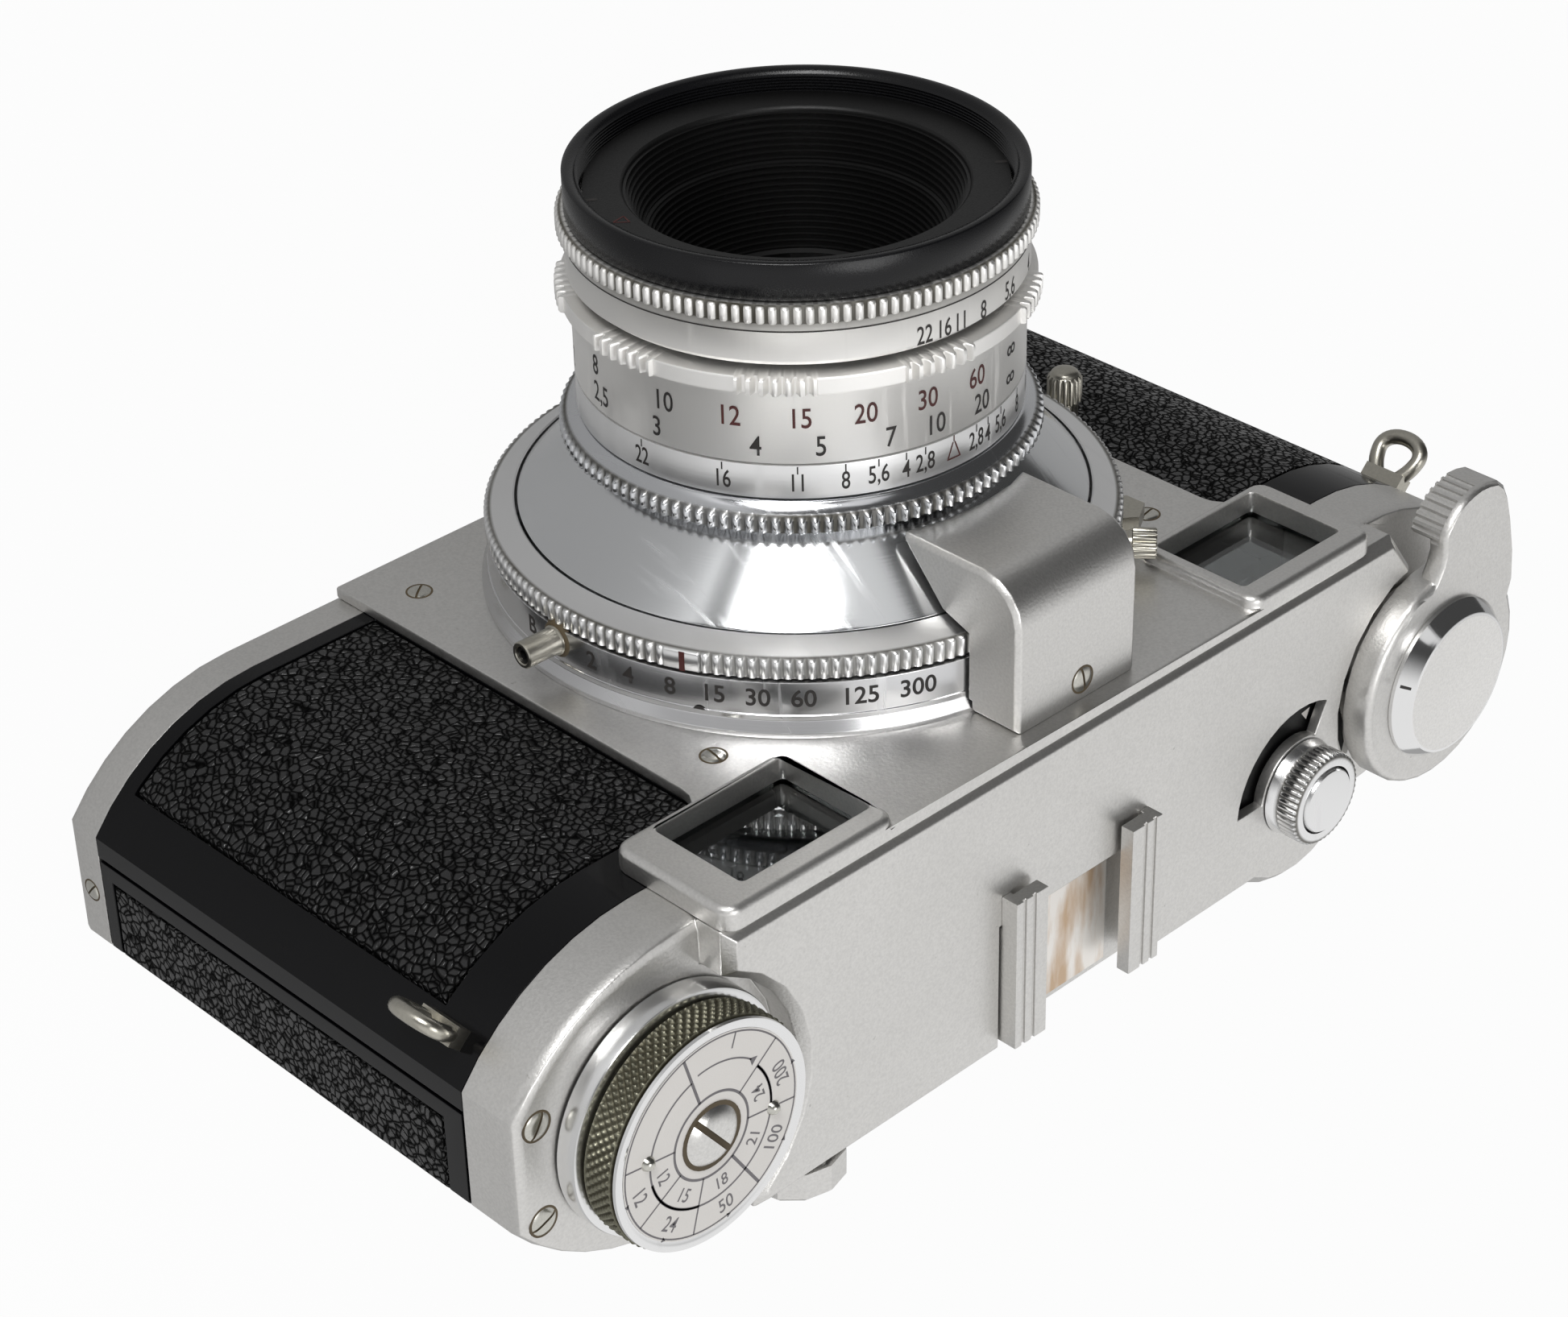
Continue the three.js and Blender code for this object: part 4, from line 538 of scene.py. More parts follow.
def finished(bm, name, body, material, *replaced, sharp=35, slot=None):
    """A solid piece. Edges sharper than an angle in degrees stay hard."""
    bmesh.ops.remove_doubles(bm, verts=bm.verts, dist=1e-6)
    bmesh.ops.recalc_face_normals(bm, faces=bm.faces)
    for face in bm.faces:
        face.smooth = True
    for edge in bm.edges:
        edge.smooth = len(edge.link_faces) == 2 and edge.calc_face_angle(0) < math.radians(sharp)
    piece = flat_finish(bm, name, body, material)
    if replaced:
        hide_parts(*replaced)
    slot = slot or SLOTS.get(material.name)
    return piece


def weighted(piece):
    """Lets large flat faces keep flat shading beside small rounded ones."""
    modifier = piece.modifiers.new("weighted normals", "WEIGHTED_NORMAL")
    modifier.keep_sharp = True
    return piece


def copy_of(node, flatten=True):
    """A copy of a CAD node's mesh, with its flats in one piece unless told otherwise."""
    bm = bmesh.new()
    bm.from_mesh(frame["nodes"][node].data)
    if flatten:
        bmesh.ops.remove_doubles(bm, verts=bm.verts, dist=SAME_PLACE)
        bmesh.ops.dissolve_limit(
            bm, angle_limit=math.radians(0.3), verts=bm.verts, edges=bm.edges,
            delimit={"NORMAL"},
        )
    return bm


def hard_edges(bm):
    corner = math.radians(40)
    return [e for e in bm.edges if len(e.link_faces) == 2 and e.calc_face_angle(0) > corner]


def ease(bm, edges, size, segments=2, **settings):
    """Rounds edges over by a size in mm."""
    bmesh.ops.bevel(
        bm, geom=edges, offset=size * MM, segments=segments, profile=0.5, affect="EDGES",
        material=-1, **settings,
    )


def dressed(node, name, material, soften):
    """A copy of a CAD node with its hard edges eased by a size in mm."""
    bm = copy_of(node)
    ease(bm, hard_edges(bm), soften)
    return weighted(finished(bm, name, body_of(node), material, node))


# %% [markdown]
# ## Turned pieces
# A ring is a profile spun about its axis. Real turned edges are never knife sharp, so a helper
# rounds every corner of the profile first: a line of light along each edge is what makes metal
# look solid.

# %% Turning helpers


def eased(corners, size):
    """A closed profile with each corner replaced by three points of a small curve."""
    points = [Vector(c) for c in corners]
    smooth = []
    for i, point in enumerate(points):
        before, after = points[i - 1] - point, points[(i + 1) % len(points)] - point
        start = point + before.normalized() * min(size, before.length / 2.2)
        end = point + after.normalized() * min(size, after.length / 2.2)
        smooth += [start, start * 0.25 + point * 0.5 + end * 0.25, end]
    return [tuple(p) for p in smooth]


def turned(profile, centre, axis="Y", steps=180, closed=True):
    """A bmesh of a profile of (radius, along) in mm, spun about an axis through a centre in mm."""
    bm = bmesh.new()
    x, y, z = centre
    place = (lambda r, t: (x + r, t, z)) if axis == "Y" else (lambda r, t: (x + r, y, t))
    verts = [bm.verts.new(Vector(place(r, t)) * MM) for r, t in profile]
    pairs = list(zip(verts, verts[1:])) + ([(verts[-1], verts[0])] if closed else [])
    edges = [bm.edges.new(pair) for pair in pairs]
    bmesh.ops.spin(
        bm, geom=verts + edges, cent=Vector(centre) * MM,
        axis=(0, 1, 0) if axis == "Y" else (0, 0, 1),
        angle=2 * math.pi, steps=steps, use_merge=True,
    )
    return bm


def groove(phase, width=0.55):
    """How deep a tooth's gap is at a place in its pitch, from 0 on the rib to 1 in the root."""
    distance = abs((phase % 1) - 0.5)
    return min(1.0, max(0.0, (width / 2 - distance) / (width / 3)))


def rib(bm, count, tip, depth, span, width=0.55, keep=None, centre=LENS, axis="Y"):
    """Presses gaps between ribs into a turned rim: radii and span along the axis in mm."""
    x, y, z = Vector(centre) * MM
    for vert in bm.verts:
        a, b = (vert.co.x - x, vert.co.z - z) if axis == "Y" else (vert.co.x - x, vert.co.y - y)
        along = (vert.co.y if axis == "Y" else vert.co.z) / MM
        radius = math.hypot(a, b)
        angle = math.degrees(math.atan2(b, a))
        within = radius >= (tip - depth) * MM and span[0] <= along <= span[1]
        if not within or (keep and keep(angle)):
            continue
        deep = depth * groove(angle * count / 360, width) * MM
        share = max(radius - deep, (tip - depth) * MM) / radius
        if axis == "Y":
            vert.co.x, vert.co.z = x + a * share, z + b * share
        else:
            vert.co.x, vert.co.y = x + a * share, y + b * share
    return bm


TOOTH_STEPS = 8
print("turning helpers ready")

# %% [markdown]
# ## Shutter
# The shutter is a drum with its speeds engraved on it, a ribbed setting ring, and a polished cone.
# The ring is smooth for a few degrees round its red index.

# %% Shutter drum, speed ring and cone
drum_low, drum_high = place_of("shutter_barrel")
ring_low, ring_high = place_of("speed_ring")
DRUM_R = 30.0
DRUM_BORE = 13.5
BASE_R = 30.7
SPEED_R = 30.1
CONE_BASE_R = 26.9
CONE_TOP_R = 20.3
CONE_BORE = 17.5
SPEED_TEETH = 176
INDEX_ANGLE = 24.7
INDEX_HALF = 3.4


def shutter_drum():
    plate, front = drum_high.y - 3.0, drum_low.y
    profile = [
        (DRUM_BORE, drum_high.y), (15.6, drum_high.y), (15.6, plate), (BASE_R, plate),
        (BASE_R, plate - 0.5), (DRUM_R + 0.12, plate - 1.5), (DRUM_R + 0.12, plate - 2.0),
        (DRUM_R, plate - 2.05), (DRUM_R, front), (DRUM_BORE, front),
    ]
    bm = turned(eased(profile, 0.08), LENS, steps=240)
    finish = lens_metal("drum_chrome", 29.0, 29.6, (0.64, 0.64, 0.65, 1), 0.2)
    return finished(bm, "shutter_drum", "body", finish, "shutter_barrel")


def speed_setting_ring():
    back, front = ring_high.y, ring_high.y - 2.15
    inner = CONE_BASE_R + 0.25
    profile = [
        (inner, back), (SPEED_R - 0.7, back), (SPEED_R - 0.5, back),
        (SPEED_R - 0.15, back - 0.12), (SPEED_R, back - 0.3), (SPEED_R, front + 0.3),
        (SPEED_R - 0.12, front + 0.12), (SPEED_R - 0.45, front), (SPEED_R - 0.7, front - 0.03),
        (inner + 0.15, ring_low.y + 0.05), (inner, ring_low.y + 0.15),
    ]
    bm = turned(profile, LENS, steps=SPEED_TEETH * TOOTH_STEPS)
    rib(
        bm, SPEED_TEETH, SPEED_R, 0.42, (front - 1, back + 1), width=0.62,
        keep=lambda angle: abs(angle - INDEX_ANGLE + 0.3) < INDEX_HALF,
    )
    finish = lens_metal(
        "speed_ring_chrome", 29.65, 29.95, roughness=0.3, dirt=0.8, relief=0.005
    )
    return finished(bm, "speed_setting_ring", "speeds", finish, "speed_ring", sharp=50)


def polished_cone():
    cone_low, cone_high = place_of("shutter_cone")
    top, base = cone_low.y, ring_low.y
    profile = [
        (CONE_BORE, cone_high.y), (CONE_BASE_R, cone_high.y), (CONE_BASE_R, base + 0.1),
        (CONE_BASE_R - 0.2, base - 0.1), (CONE_TOP_R, top), (CONE_BORE, top),
    ]
    finish = lens_metal(
        "cone_chrome", 26.8, 27.05, (0.70, 0.71, 0.72, 1), 0.15, dirt=0.0, relief=0.004
    )
    bm = turned(eased(profile, 0.05), LENS, steps=240)
    return finished(bm, "polished_cone", "body", finish, "shutter_cone", sharp=25)


for make in (shutter_drum, speed_setting_ring, polished_cone):
    print(make().name)

# %% [markdown]
# ## Lens barrel
# From the body outwards come the lock ring with sharp V-shaped teeth, the depth scale, the
# focusing ring with its nine groups of broad ribs, the aperture ring and the black rim. Each
# stands on its CAD ring's place and takes only its finer shape from here.

# %% Lens rings
LOCK_TEETH = 118
LOCK_R = 22.5
LOCK_BORE = 19.9
SCALE_R = 20.8
FLANGE_R = 22.2
APERTURE_TEETH = 126
APERTURE_R = 21.1
APERTURE_TIP = 21.8
RIM_R = 21.0
BORE = 18.3
GRIP_SECTOR = 360 / 9
GRIP_CENTRE = 0.3
GRIP_HALF = 9.6
GRIP_PITCH = 3.05
GRIP_ROOT = 21.35
GRIP_GAP = 21.75
NAME_RING_R = 19.2
FUNNEL_R = 15.6
FUNNEL_RIBS = 22
GLASS_R = 10.9
THREAD_PITCH = 0.3


def lock_collar():
    low, high = place_of("lock_ring")
    front = high.y - 1.35
    profile = [
        (LOCK_BORE, high.y), (LOCK_R - 0.55, high.y), (LOCK_R - 0.12, high.y - 0.1),
        (LOCK_R, high.y - 0.25), (LOCK_R, front + 0.12), (LOCK_R - 0.08, front),
        (LOCK_R - 0.5, front - 0.35), (LOCK_R - 0.9, front - 0.5), (21.0, low.y + 0.2),
        (20.9, low.y + 0.05), (20.7, low.y), (LOCK_BORE, low.y),
    ]
    bm = turned(profile, LENS, steps=LOCK_TEETH * TOOTH_STEPS)
    rib(bm, LOCK_TEETH, LOCK_R, 0.5, (low.y, high.y + 1), width=0.8)
    finish = lens_metal("lock_chrome", 22.0, 22.35, (0.66, 0.67, 0.69, 1), 0.16, dirt=0.8)
    return finished(bm, "lock_collar", "lens_lock", finish, "lock_ring", sharp=50)


def depth_scale():
    low, high = place_of("depth_of_field_barrel")
    back = low.y + 3.3
    profile = [
        (BORE, high.y), (19.6, high.y), (19.6, back),
        (SCALE_R, back), (SCALE_R, low.y), (BORE, low.y),
    ]
    finish = lens_metal("scale_chrome", 19.0, 19.5, roughness=0.34, relief=0.010)
    bm = turned(eased(profile, 0.06), LENS, steps=200)
    return finished(bm, "depth_scale", "body", finish, "depth_of_field_barrel")


def focusing_ring():
    low, high = place_of("focus_ring")
    flange = low.y + 1.7
    profile = [
        (BORE, high.y), (SCALE_R - 0.06, high.y), (SCALE_R, high.y - 0.06),
        (SCALE_R, flange + 0.15), (SCALE_R + 0.1, flange), (FLANGE_R - 0.5, flange),
        (FLANGE_R - 0.12, flange - 0.08), (FLANGE_R, flange - 0.22), (FLANGE_R, low.y + 0.22),
        (FLANGE_R - 0.12, low.y + 0.08), (FLANGE_R - 0.5, low.y), (BORE, low.y),
    ]
    bm = turned(profile, LENS, steps=1080)
    for vert in bm.verts:
        a, b = vert.co.x, vert.co.z - LENS_HEIGHT * MM
        radius = math.hypot(a, b)
        if radius < (SCALE_R + 0.3) * MM:
            continue
        angle = math.degrees(math.atan2(b, a)) - GRIP_CENTRE
        local = (angle + GRIP_SECTOR / 2) % GRIP_SECTOR - GRIP_SECTOR / 2
        if abs(local) < GRIP_HALF:
            wave = groove((local / GRIP_PITCH) % 1, 0.62)
            share = (radius - (radius - GRIP_ROOT * MM) * wave) / radius
        else:
            share = min(radius, GRIP_GAP * MM) / radius
        vert.co.x, vert.co.z = a * share, b * share + LENS_HEIGHT * MM
    finish = lens_metal(
        "focus_chrome", 21.4, 21.8, (0.9, 0.89, 0.87, 1), 0.5, dirt=0.0, relief=0.010
    )
    return finished(bm, "focusing_ring", "focus", finish, "focus_ring", sharp=50)


def aperture_setting_ring():
    low, high = place_of("aperture_ring")
    back = low.y + 1.7
    profile = [
        (BORE, high.y), (APERTURE_R - 0.8, high.y), (APERTURE_R - 0.75, high.y - 0.5),
        (APERTURE_R, high.y - 0.7), (APERTURE_R, back + 0.95), (APERTURE_R + 0.04, back + 0.9),
        (APERTURE_R + 0.12, back + 0.2), (APERTURE_R + 0.2, back + 0.05),
        (APERTURE_TIP - 0.15, back), (APERTURE_TIP, back - 0.18), (APERTURE_TIP, low.y + 0.35),
        (APERTURE_TIP - 0.15, low.y + 0.15), (APERTURE_TIP - 0.5, low.y), (BORE, low.y),
    ]
    bm = turned(profile, LENS, steps=APERTURE_TEETH * TOOTH_STEPS)
    rib(bm, APERTURE_TEETH, APERTURE_TIP, 0.45, (low.y - 1, back), width=0.6)
    finish = lens_metal(
        "aperture_chrome", 21.42, 21.6, (0.85, 0.84, 0.82, 1), 0.45, dirt=0.9, relief=0.008
    )
    return finished(bm, "aperture_setting_ring", "aperture", finish, "aperture_ring", sharp=50)


def black_rim():
    """The rim's inside carries a fine thread for filters."""
    low, high = place_of("filter_rim")
    threads = []
    depth = low.y + 0.5
    while depth < high.y - 0.9:
        threads += [(19.75, depth), (19.55, depth + 0.13), (19.75, depth + 0.26)]
        depth += THREAD_PITCH
    profile = [
        (RIM_R - 0.1, high.y), (RIM_R, high.y - 0.1), (RIM_R, low.y + 0.15),
        (RIM_R - 0.12, low.y + 0.02), (RIM_R - 0.45, low.y), (20.0, low.y + 0.12),
        (19.85, low.y + 0.4), *threads, (19.6, high.y),
    ]
    bm = turned(profile, LENS, steps=240)
    return finished(bm, "black_rim", "head", rim_black, "filter_rim", sharp=50)


def name_ring_and_funnel():
    """A flat ring, and steps that narrow towards the front glass to stop stray light."""
    low, high = place_of("baffle_ring")
    funnel = []
    for i in range(FUNNEL_RIBS):
        share = i / FUNNEL_RIBS
        depth = low.y + 0.25 + (high.y - low.y - 0.4) * share
        radius = FUNNEL_R + (GLASS_R - FUNNEL_R) * share
        if share > 0.36:
            radius -= 0.55 * (1 - share)
        funnel += [
            (radius, depth), (radius - 0.02, depth + 0.22),
            (radius - 0.28, depth + 0.25), (radius - 0.24, depth + 0.45),
        ]
    profile = [
        (NAME_RING_R, low.y + 0.5), (NAME_RING_R, low.y), (15.85, low.y), (15.65, low.y + 0.15),
        *funnel, (GLASS_R - 0.5, high.y), (GLASS_R + 0.5, high.y), (15.9, low.y + 1.5),
        (15.9, low.y + 0.5),
    ]
    bm = turned(profile, LENS, steps=200)
    return finished(bm, "name_ring_and_funnel", "head", matt_black, "baffle_ring", sharp=30)


def coated_glass(node, name):
    """A disc with a domed front."""
    low, high = place_of(node)
    radius = (high.x - low.x) / 2
    dome = [(radius * s, low.y + 1.6 * s * s) for s in (i / 12 for i in range(13))]
    bm = turned([*dome, (radius, high.y), (0, high.y)], LENS, steps=96, closed=False)
    return finished(bm, name, "head", clear_glass, node)


# %% Marks on the name ring
BAR_STEP = 0.4


def bar_bmesh(width, height, x=0.0, y=0.0, turn=0.0, step=BAR_STEP):
    """A flat bar in mm, cut fine enough to be bent. The turn is in radians."""
    bm = bmesh.new()
    bmesh.ops.create_grid(bm, x_segments=max(1, int(width / step)), y_segments=1, size=0.5)
    return shifted(spun(stretched(bm, (width, height, 1)), turn), (x, y, 0))


def on_name_ring(bm, angle, radius, y):
    """Lays a flat drawing on a face across the lens axis."""
    a = math.radians(angle)
    for vert in bm.verts:
        out, side = radius + vert.co.y, vert.co.x
        across = out * math.cos(a) - side * math.sin(a)
        up = LENS_HEIGHT + out * math.sin(a) + side * math.cos(a)
        vert.co = Vector((across, y, up)) * MM
    return bm


def ring_marks():
    """A small red triangle, and two notches at the ring's edge for a spanner."""
    front = place_of("baffle_ring")[0].y - 0.02
    strokes = (((-0.35, 0.0), 1.5, 64), ((0.35, 0.0), 1.5, -64), ((0.0, -0.62), 1.3, 0))
    triangle, notches = bmesh.new(), bmesh.new()
    for (x, y), length, turn in strokes:
        bar = bar_bmesh(length, 0.14, x, y, math.radians(turn), step=length)
        merge_into(triangle, on_name_ring(bar, -17, 17.4, front))
    for angle in (-33, 144):
        bar = bar_bmesh(1.1, 0.5, turn=math.radians(90), step=1.1)
        merge_into(notches, on_name_ring(bar, angle, 18.6, front))
    flat_finish(triangle, "ring_triangle", "head", red_ink)
    flat_finish(notches, "ring_notches", "head", black_ink)


ring_marks()
rings = (lock_collar, focusing_ring, aperture_setting_ring, black_rim, name_ring_and_funnel)
for make in (*rings, depth_scale):
    print(make().name)
coated_glass("front_glass", "front_element")
coated_glass("rear_glass", "rear_element")

# %% [markdown]
# ## Engraved numbers
# Numbers start as text, become a flat mesh, and are then wrapped round a ring: the width of the
# text turns into an angle and its height runs along the lens. They stand a hair proud, because
# two surfaces in the same place would flicker.

# %% Wrapped numbers
PROUD = 0.015
CAPITAL = 1.42


def text_bmesh(text, height, narrow=0.82, bold=0.0):
    """Text as a flat bmesh in mm, centred, with its capitals as tall as asked."""
    data = bpy.data.curves.new("text", "FONT")
    data.body = text
    data.size = height * CAPITAL
    data.align_x = "CENTER"
    data.align_y = "CENTER"
    data.offset = bold
    data.resolution_u = 4
    holder = in_scene("text", data)
    bpy.context.view_layer.update()
    graph = bpy.context.evaluated_depsgraph_get()
    mesh = bpy.data.meshes.new_from_object(holder.evaluated_get(graph))
    bm = bmesh.new()
    bm.from_mesh(mesh)
    bpy.data.objects.remove(holder)
    bpy.data.curves.remove(data)
    bpy.data.meshes.remove(mesh)
    heights = [v.co.y for v in bm.verts]
    shifted(bm, (0, -(min(heights) + max(heights)) / 2, 0))
    return stretched(bm, (narrow, 1, 1))


def disc_bmesh(corners, radius):
    """A flat disc, or with three corners a triangle."""
    bm = bmesh.new()
    bmesh.ops.create_circle(bm, cap_ends=True, segments=corners, radius=radius)
    return bm


def wrap(bm, angle, y, radius):
    """Bends a flat drawing in mm round the lens, with its middle at an angle in degrees and at y."""
    proud = radius + PROUD
    for vert in bm.verts:
        turn = math.radians(angle) + vert.co.x / radius
        up = LENS_HEIGHT + proud * math.sin(turn)
        vert.co = Vector((proud * math.cos(turn) * MM, (y - vert.co.y) * MM, up * MM))
    return bm


def numbers_round(name, body, marks, y, radius, height, material, bold=0.02, narrow=0.8):
    drawing = bmesh.new()
    for text, angle in marks:
        if text == "infinity":
            glyph = spun(text_bmesh("8", height * 0.92, 0.9, bold), math.pi / 2)
        else:
            glyph = text_bmesh(text, height, narrow, bold)
        merge_into(drawing, wrap(glyph, angle, y, radius))
    return flat_finish(drawing, name, body, material)


SPEED_MARKS = [
    ("B", -9.9), ("1", -1.9), ("2", 6.1), ("4", 14.1), ("8", 22.2),
    ("15", 30.0), ("30", 37.7), ("60", 45.5), ("125", 55.1), ("300", 65.2),
]
FEET_RED = [("12", 28.4), ("15", 45.8), ("20", 61.8), ("30", 78.3), ("60", 94.6)]
FEET_BLACK = [
    ("8", -15.3), ("10", 10.6), ("infinity", 111.1),
    ("6", -41.0), ("5", -66.0), ("4", -98.0), ("3.5", -122.0),
]
METRES = [
    ("2,5", -13.1), ("3", 8.3), ("4", 34.9), ("5", 50.7), ("7", 68.1), ("10", 80.7),
    ("20", 96.6), ("infinity", 110.8), ("2", -36.0), ("1,5", -72.0), ("1,2", -104.0),
    ("1", -128.0),
]
DEPTHS = [
    ("22", 2.9), ("16", 26.2), ("11", 44.9), ("8", 56.6), ("5,6", 64.9), ("4", 72.2),
    ("2,8", 77.6), ("2,8", 94.5), ("4", 99.2), ("5,6", 105.4), ("8", 116.0), ("11", 128.0),
    ("16", 146.6), ("22", 169.9),
]
STOPS = [
    ("22", 76.9), ("16", 82.5), ("11", 87.8), ("8", 95.8), ("5,6", 108.0), ("4", 123.0),
    ("2,8", 143.0),
]
SPEED_Y = -28.4
FEET_Y = -51.35
METRES_Y = -48.55
DEPTH_Y = -44.95
STOPS_Y = -57.9
TALL = 1.95
SHORT = 1.75

numbers_round("speed_numbers", "body", SPEED_MARKS, SPEED_Y, DRUM_R, SHORT, black_ink, 0.035, 0.95)
numbers_round("feet_numbers_red", "focus", FEET_RED, FEET_Y, SCALE_R, TALL, red_ink)
numbers_round("feet_numbers_black", "focus", FEET_BLACK, FEET_Y, SCALE_R, TALL, black_ink)
numbers_round("metre_numbers", "focus", METRES, METRES_Y, SCALE_R, TALL, black_ink)
numbers_round("depth_numbers", "body", DEPTHS, DEPTH_Y, SCALE_R, SHORT, black_ink, narrow=0.68)
numbers_round("stop_numbers", "aperture", STOPS, STOPS_Y, APERTURE_R, SHORT, black_ink, narrow=0.68)

# %% Ticks and indexes
LINE = 0.13
DEPTH_INDEX = 86.4
depth_front = place_of("depth_of_field_barrel")[0].y


def depth_ticks():
    drawing = bmesh.new()
    for _, angle in DEPTHS:
        merge_into(drawing, wrap(bar_bmesh(LINE, 0.75), angle, depth_front + 0.45, SCALE_R))
    return flat_finish(drawing, "depth_ticks", "body", black_ink)


def red_triangle():
    drawing = bmesh.new()
    merge_into(drawing, wrap(bar_bmesh(LINE, 0.6), DEPTH_INDEX, depth_front + 0.3, SCALE_R))
    for x, y, length, turn in ((-0.42, 0.0, 1.75, 1.2), (0.42, 0.0, 1.75, -1.2), (0, -0.8, 1.6, 0)):
        side = bar_bmesh(length, 0.15, x, y, turn)
        merge_into(drawing, wrap(side, DEPTH_INDEX, depth_front + 1.45, SCALE_R))
    return flat_finish(drawing, "depth_index", "body", red_ink)


def stop_line():
    radius, y = APERTURE_R + 0.05 + PROUD, place_of("aperture_ring")[0].y + 2.55
    bm = turned([(radius, y), (radius, y + 0.14)], LENS, steps=240, closed=False)
    return flat_finish(bm, "stop_line", "aperture", black_ink)


def speed_index():
    bm = wrap(bar_bmesh(0.55, 2.0), INDEX_ANGLE, ring_high.y - 1.1, SPEED_R)
    return flat_finish(bm, "speed_index", "speeds", red_ink)


def flash_dot():
    bm = wrap(disc_bmesh(24, 0.62), 27.5, -26.3, DRUM_R + 0.1)
    return flat_finish(bm, "flash_dot", "body", black_ink)


for make in (depth_ticks, red_triangle, stop_line, speed_index, flash_dot):
    print(make().name)

# %% [markdown]
# ## Rewind knob
# The knob's grip is a diamond knurl: two sets of helical grooves that cross. Its top is a printed
# dial for the film's speed, turned with two small pins and held by a slotted screw.

# %% Rewind knob
knob_low, knob_high = place_of("rewind_knob")
KNOB = middle_of("rewind_knob")
KNOB_R = (knob_high.x - knob_low.x) / 2
KNOB_BORE = 2.9
DIAMONDS = 74
DIAMOND_ROWS = 22
DIAMOND_DEPTH = 0.3


def knurled_knob():
    low, high = knob_low.z, knob_high.z
    rows = [low + 0.25 + (high - low - 0.5) * i / DIAMOND_ROWS for i in range(DIAMOND_ROWS + 1)]
    profile = [
        (KNOB_BORE, low), (KNOB_R - 0.5, low), (KNOB_R - 0.12, low + 0.1),
        *((KNOB_R, row) for row in rows),
        (KNOB_R - 0.12, high - 0.1), (KNOB_R - 0.4, high), (KNOB_BORE, high),
    ]
    bm = turned(profile, KNOB, "Z", steps=DIAMONDS * TOOTH_STEPS)
    x, y, _ = Vector(KNOB) * MM
    for vert in bm.verts:
        a, b = vert.co.x - x, vert.co.y - y
        radius = math.hypot(a, b)
        if radius < (KNOB_R - 0.05) * MM:
            continue
        turn = math.atan2(b, a) * DIAMONDS / (2 * math.pi)
        climb = (vert.co.z / MM - low) / (2 * math.pi * KNOB_R / DIAMONDS)
        cut = max(groove(turn + climb, 0.7), groove(turn - climb, 0.7))
        share = (radius - DIAMOND_DEPTH * MM * cut) / radius
        vert.co.x, vert.co.y = x + a * share, y + b * share
    finish = knob_metal(
        "knob_metal", KNOB_R - 0.35, KNOB_R - 0.02, KNOB, 0.32, 0.97,
        colour=(0.24, 0.235, 0.18, 1),
    )
    return finished(bm, "knurled_knob", "rewind", finish, "rewind_knob", sharp=60, slot="nickel")


def knob_flange():
    low, high = place_of("rewind_flange")
    r = (high.x - low.x) / 2
    profile = [
        (3.1, low.z), (r - 0.15, low.z), (r, low.z + 0.15), (r, high.z - 0.35),
        (r - 0.1, high.z - 0.1), (r - 0.4, high.z), (3.1, high.z),
    ]
    bm = turned(profile, KNOB, "Z")
    finish = knob_metal("flange_chrome", 10.0, 10.5, KNOB, 0.22)
    return finished(bm, "knob_flange", "rewind_sleeve", finish, "rewind_flange")


print(knurled_knob().name, knob_flange().name)

# %% Reminder dial
DIAL_TOP = knob_high.z + 0.45
INNER_RING = 4.2
MIDDLE_RING = 6.9
OUTER_RING = 9.7
ARROW_RING = 7.15
THIN = 0.17
THICK = 0.3
SPOKES = [(-9, THIN), (31, THIN), (75, THIN), (122, THICK), (171, THIN), (218, THIN), (286, THICK)]
FILM_SPEEDS = [
    ("12", "12", 11.5), ("24", "15", 53), ("50", "18", 99), ("100", "21", 147), ("200", "24", 194),
]


def dial_plate():
    r = KNOB_R - 0.45
    low = knob_high.z + 0.1
    profile = [
        (1.3, low), (r, low), (r + 0.25, low + 0.2), (r + 0.2, DIAL_TOP + 0.15),
        (r - 0.1, DIAL_TOP + 0.22), (r - 0.45, DIAL_TOP + 0.12), (r - 0.7, DIAL_TOP),
        (1.3, DIAL_TOP),
    ]
    bm = turned(profile, KNOB, "Z")
    finish = knob_metal("dial_rim_chrome", 8.0, 8.5, KNOB, 0.15, slot="dial_white")
    rim = finished(bm, "dial_plate", "reminder", finish, "reminder_dial")
    top = DIAL_TOP + 0.02
    face = turned([(2.7, top), (r - 0.72, top)], KNOB, "Z", steps=120, closed=False)
    flat_finish(face, "dial_face", "reminder", dial_white)
    return rim


def flat_arc(radius, width, start, end):
    """A flat arc in mm between two angles in degrees."""
    bm = bmesh.new()
    steps = max(2, int(abs(end - start) / 3))
    rows = []
    for i in range(steps + 1):
        a = math.radians(start + (end - start) * i / steps)
        radii = (radius - width / 2, radius + width / 2)
        rows.append([bm.verts.new((r * math.cos(a), r * math.sin(a), 0)) for r in radii])
    for (a, b), (c, d) in zip(rows, rows[1:]):
        bm.faces.new((a, b, d, c))
    return bm


def placed_flat(bm, radius, angle, turn):
    """Turns a flat drawing, then moves it out to a radius and an angle in degrees."""
    spun(bm, math.radians(turn))
    a = math.radians(angle)
    return shifted(bm, Vector((math.cos(a), math.sin(a), 0)) * radius)


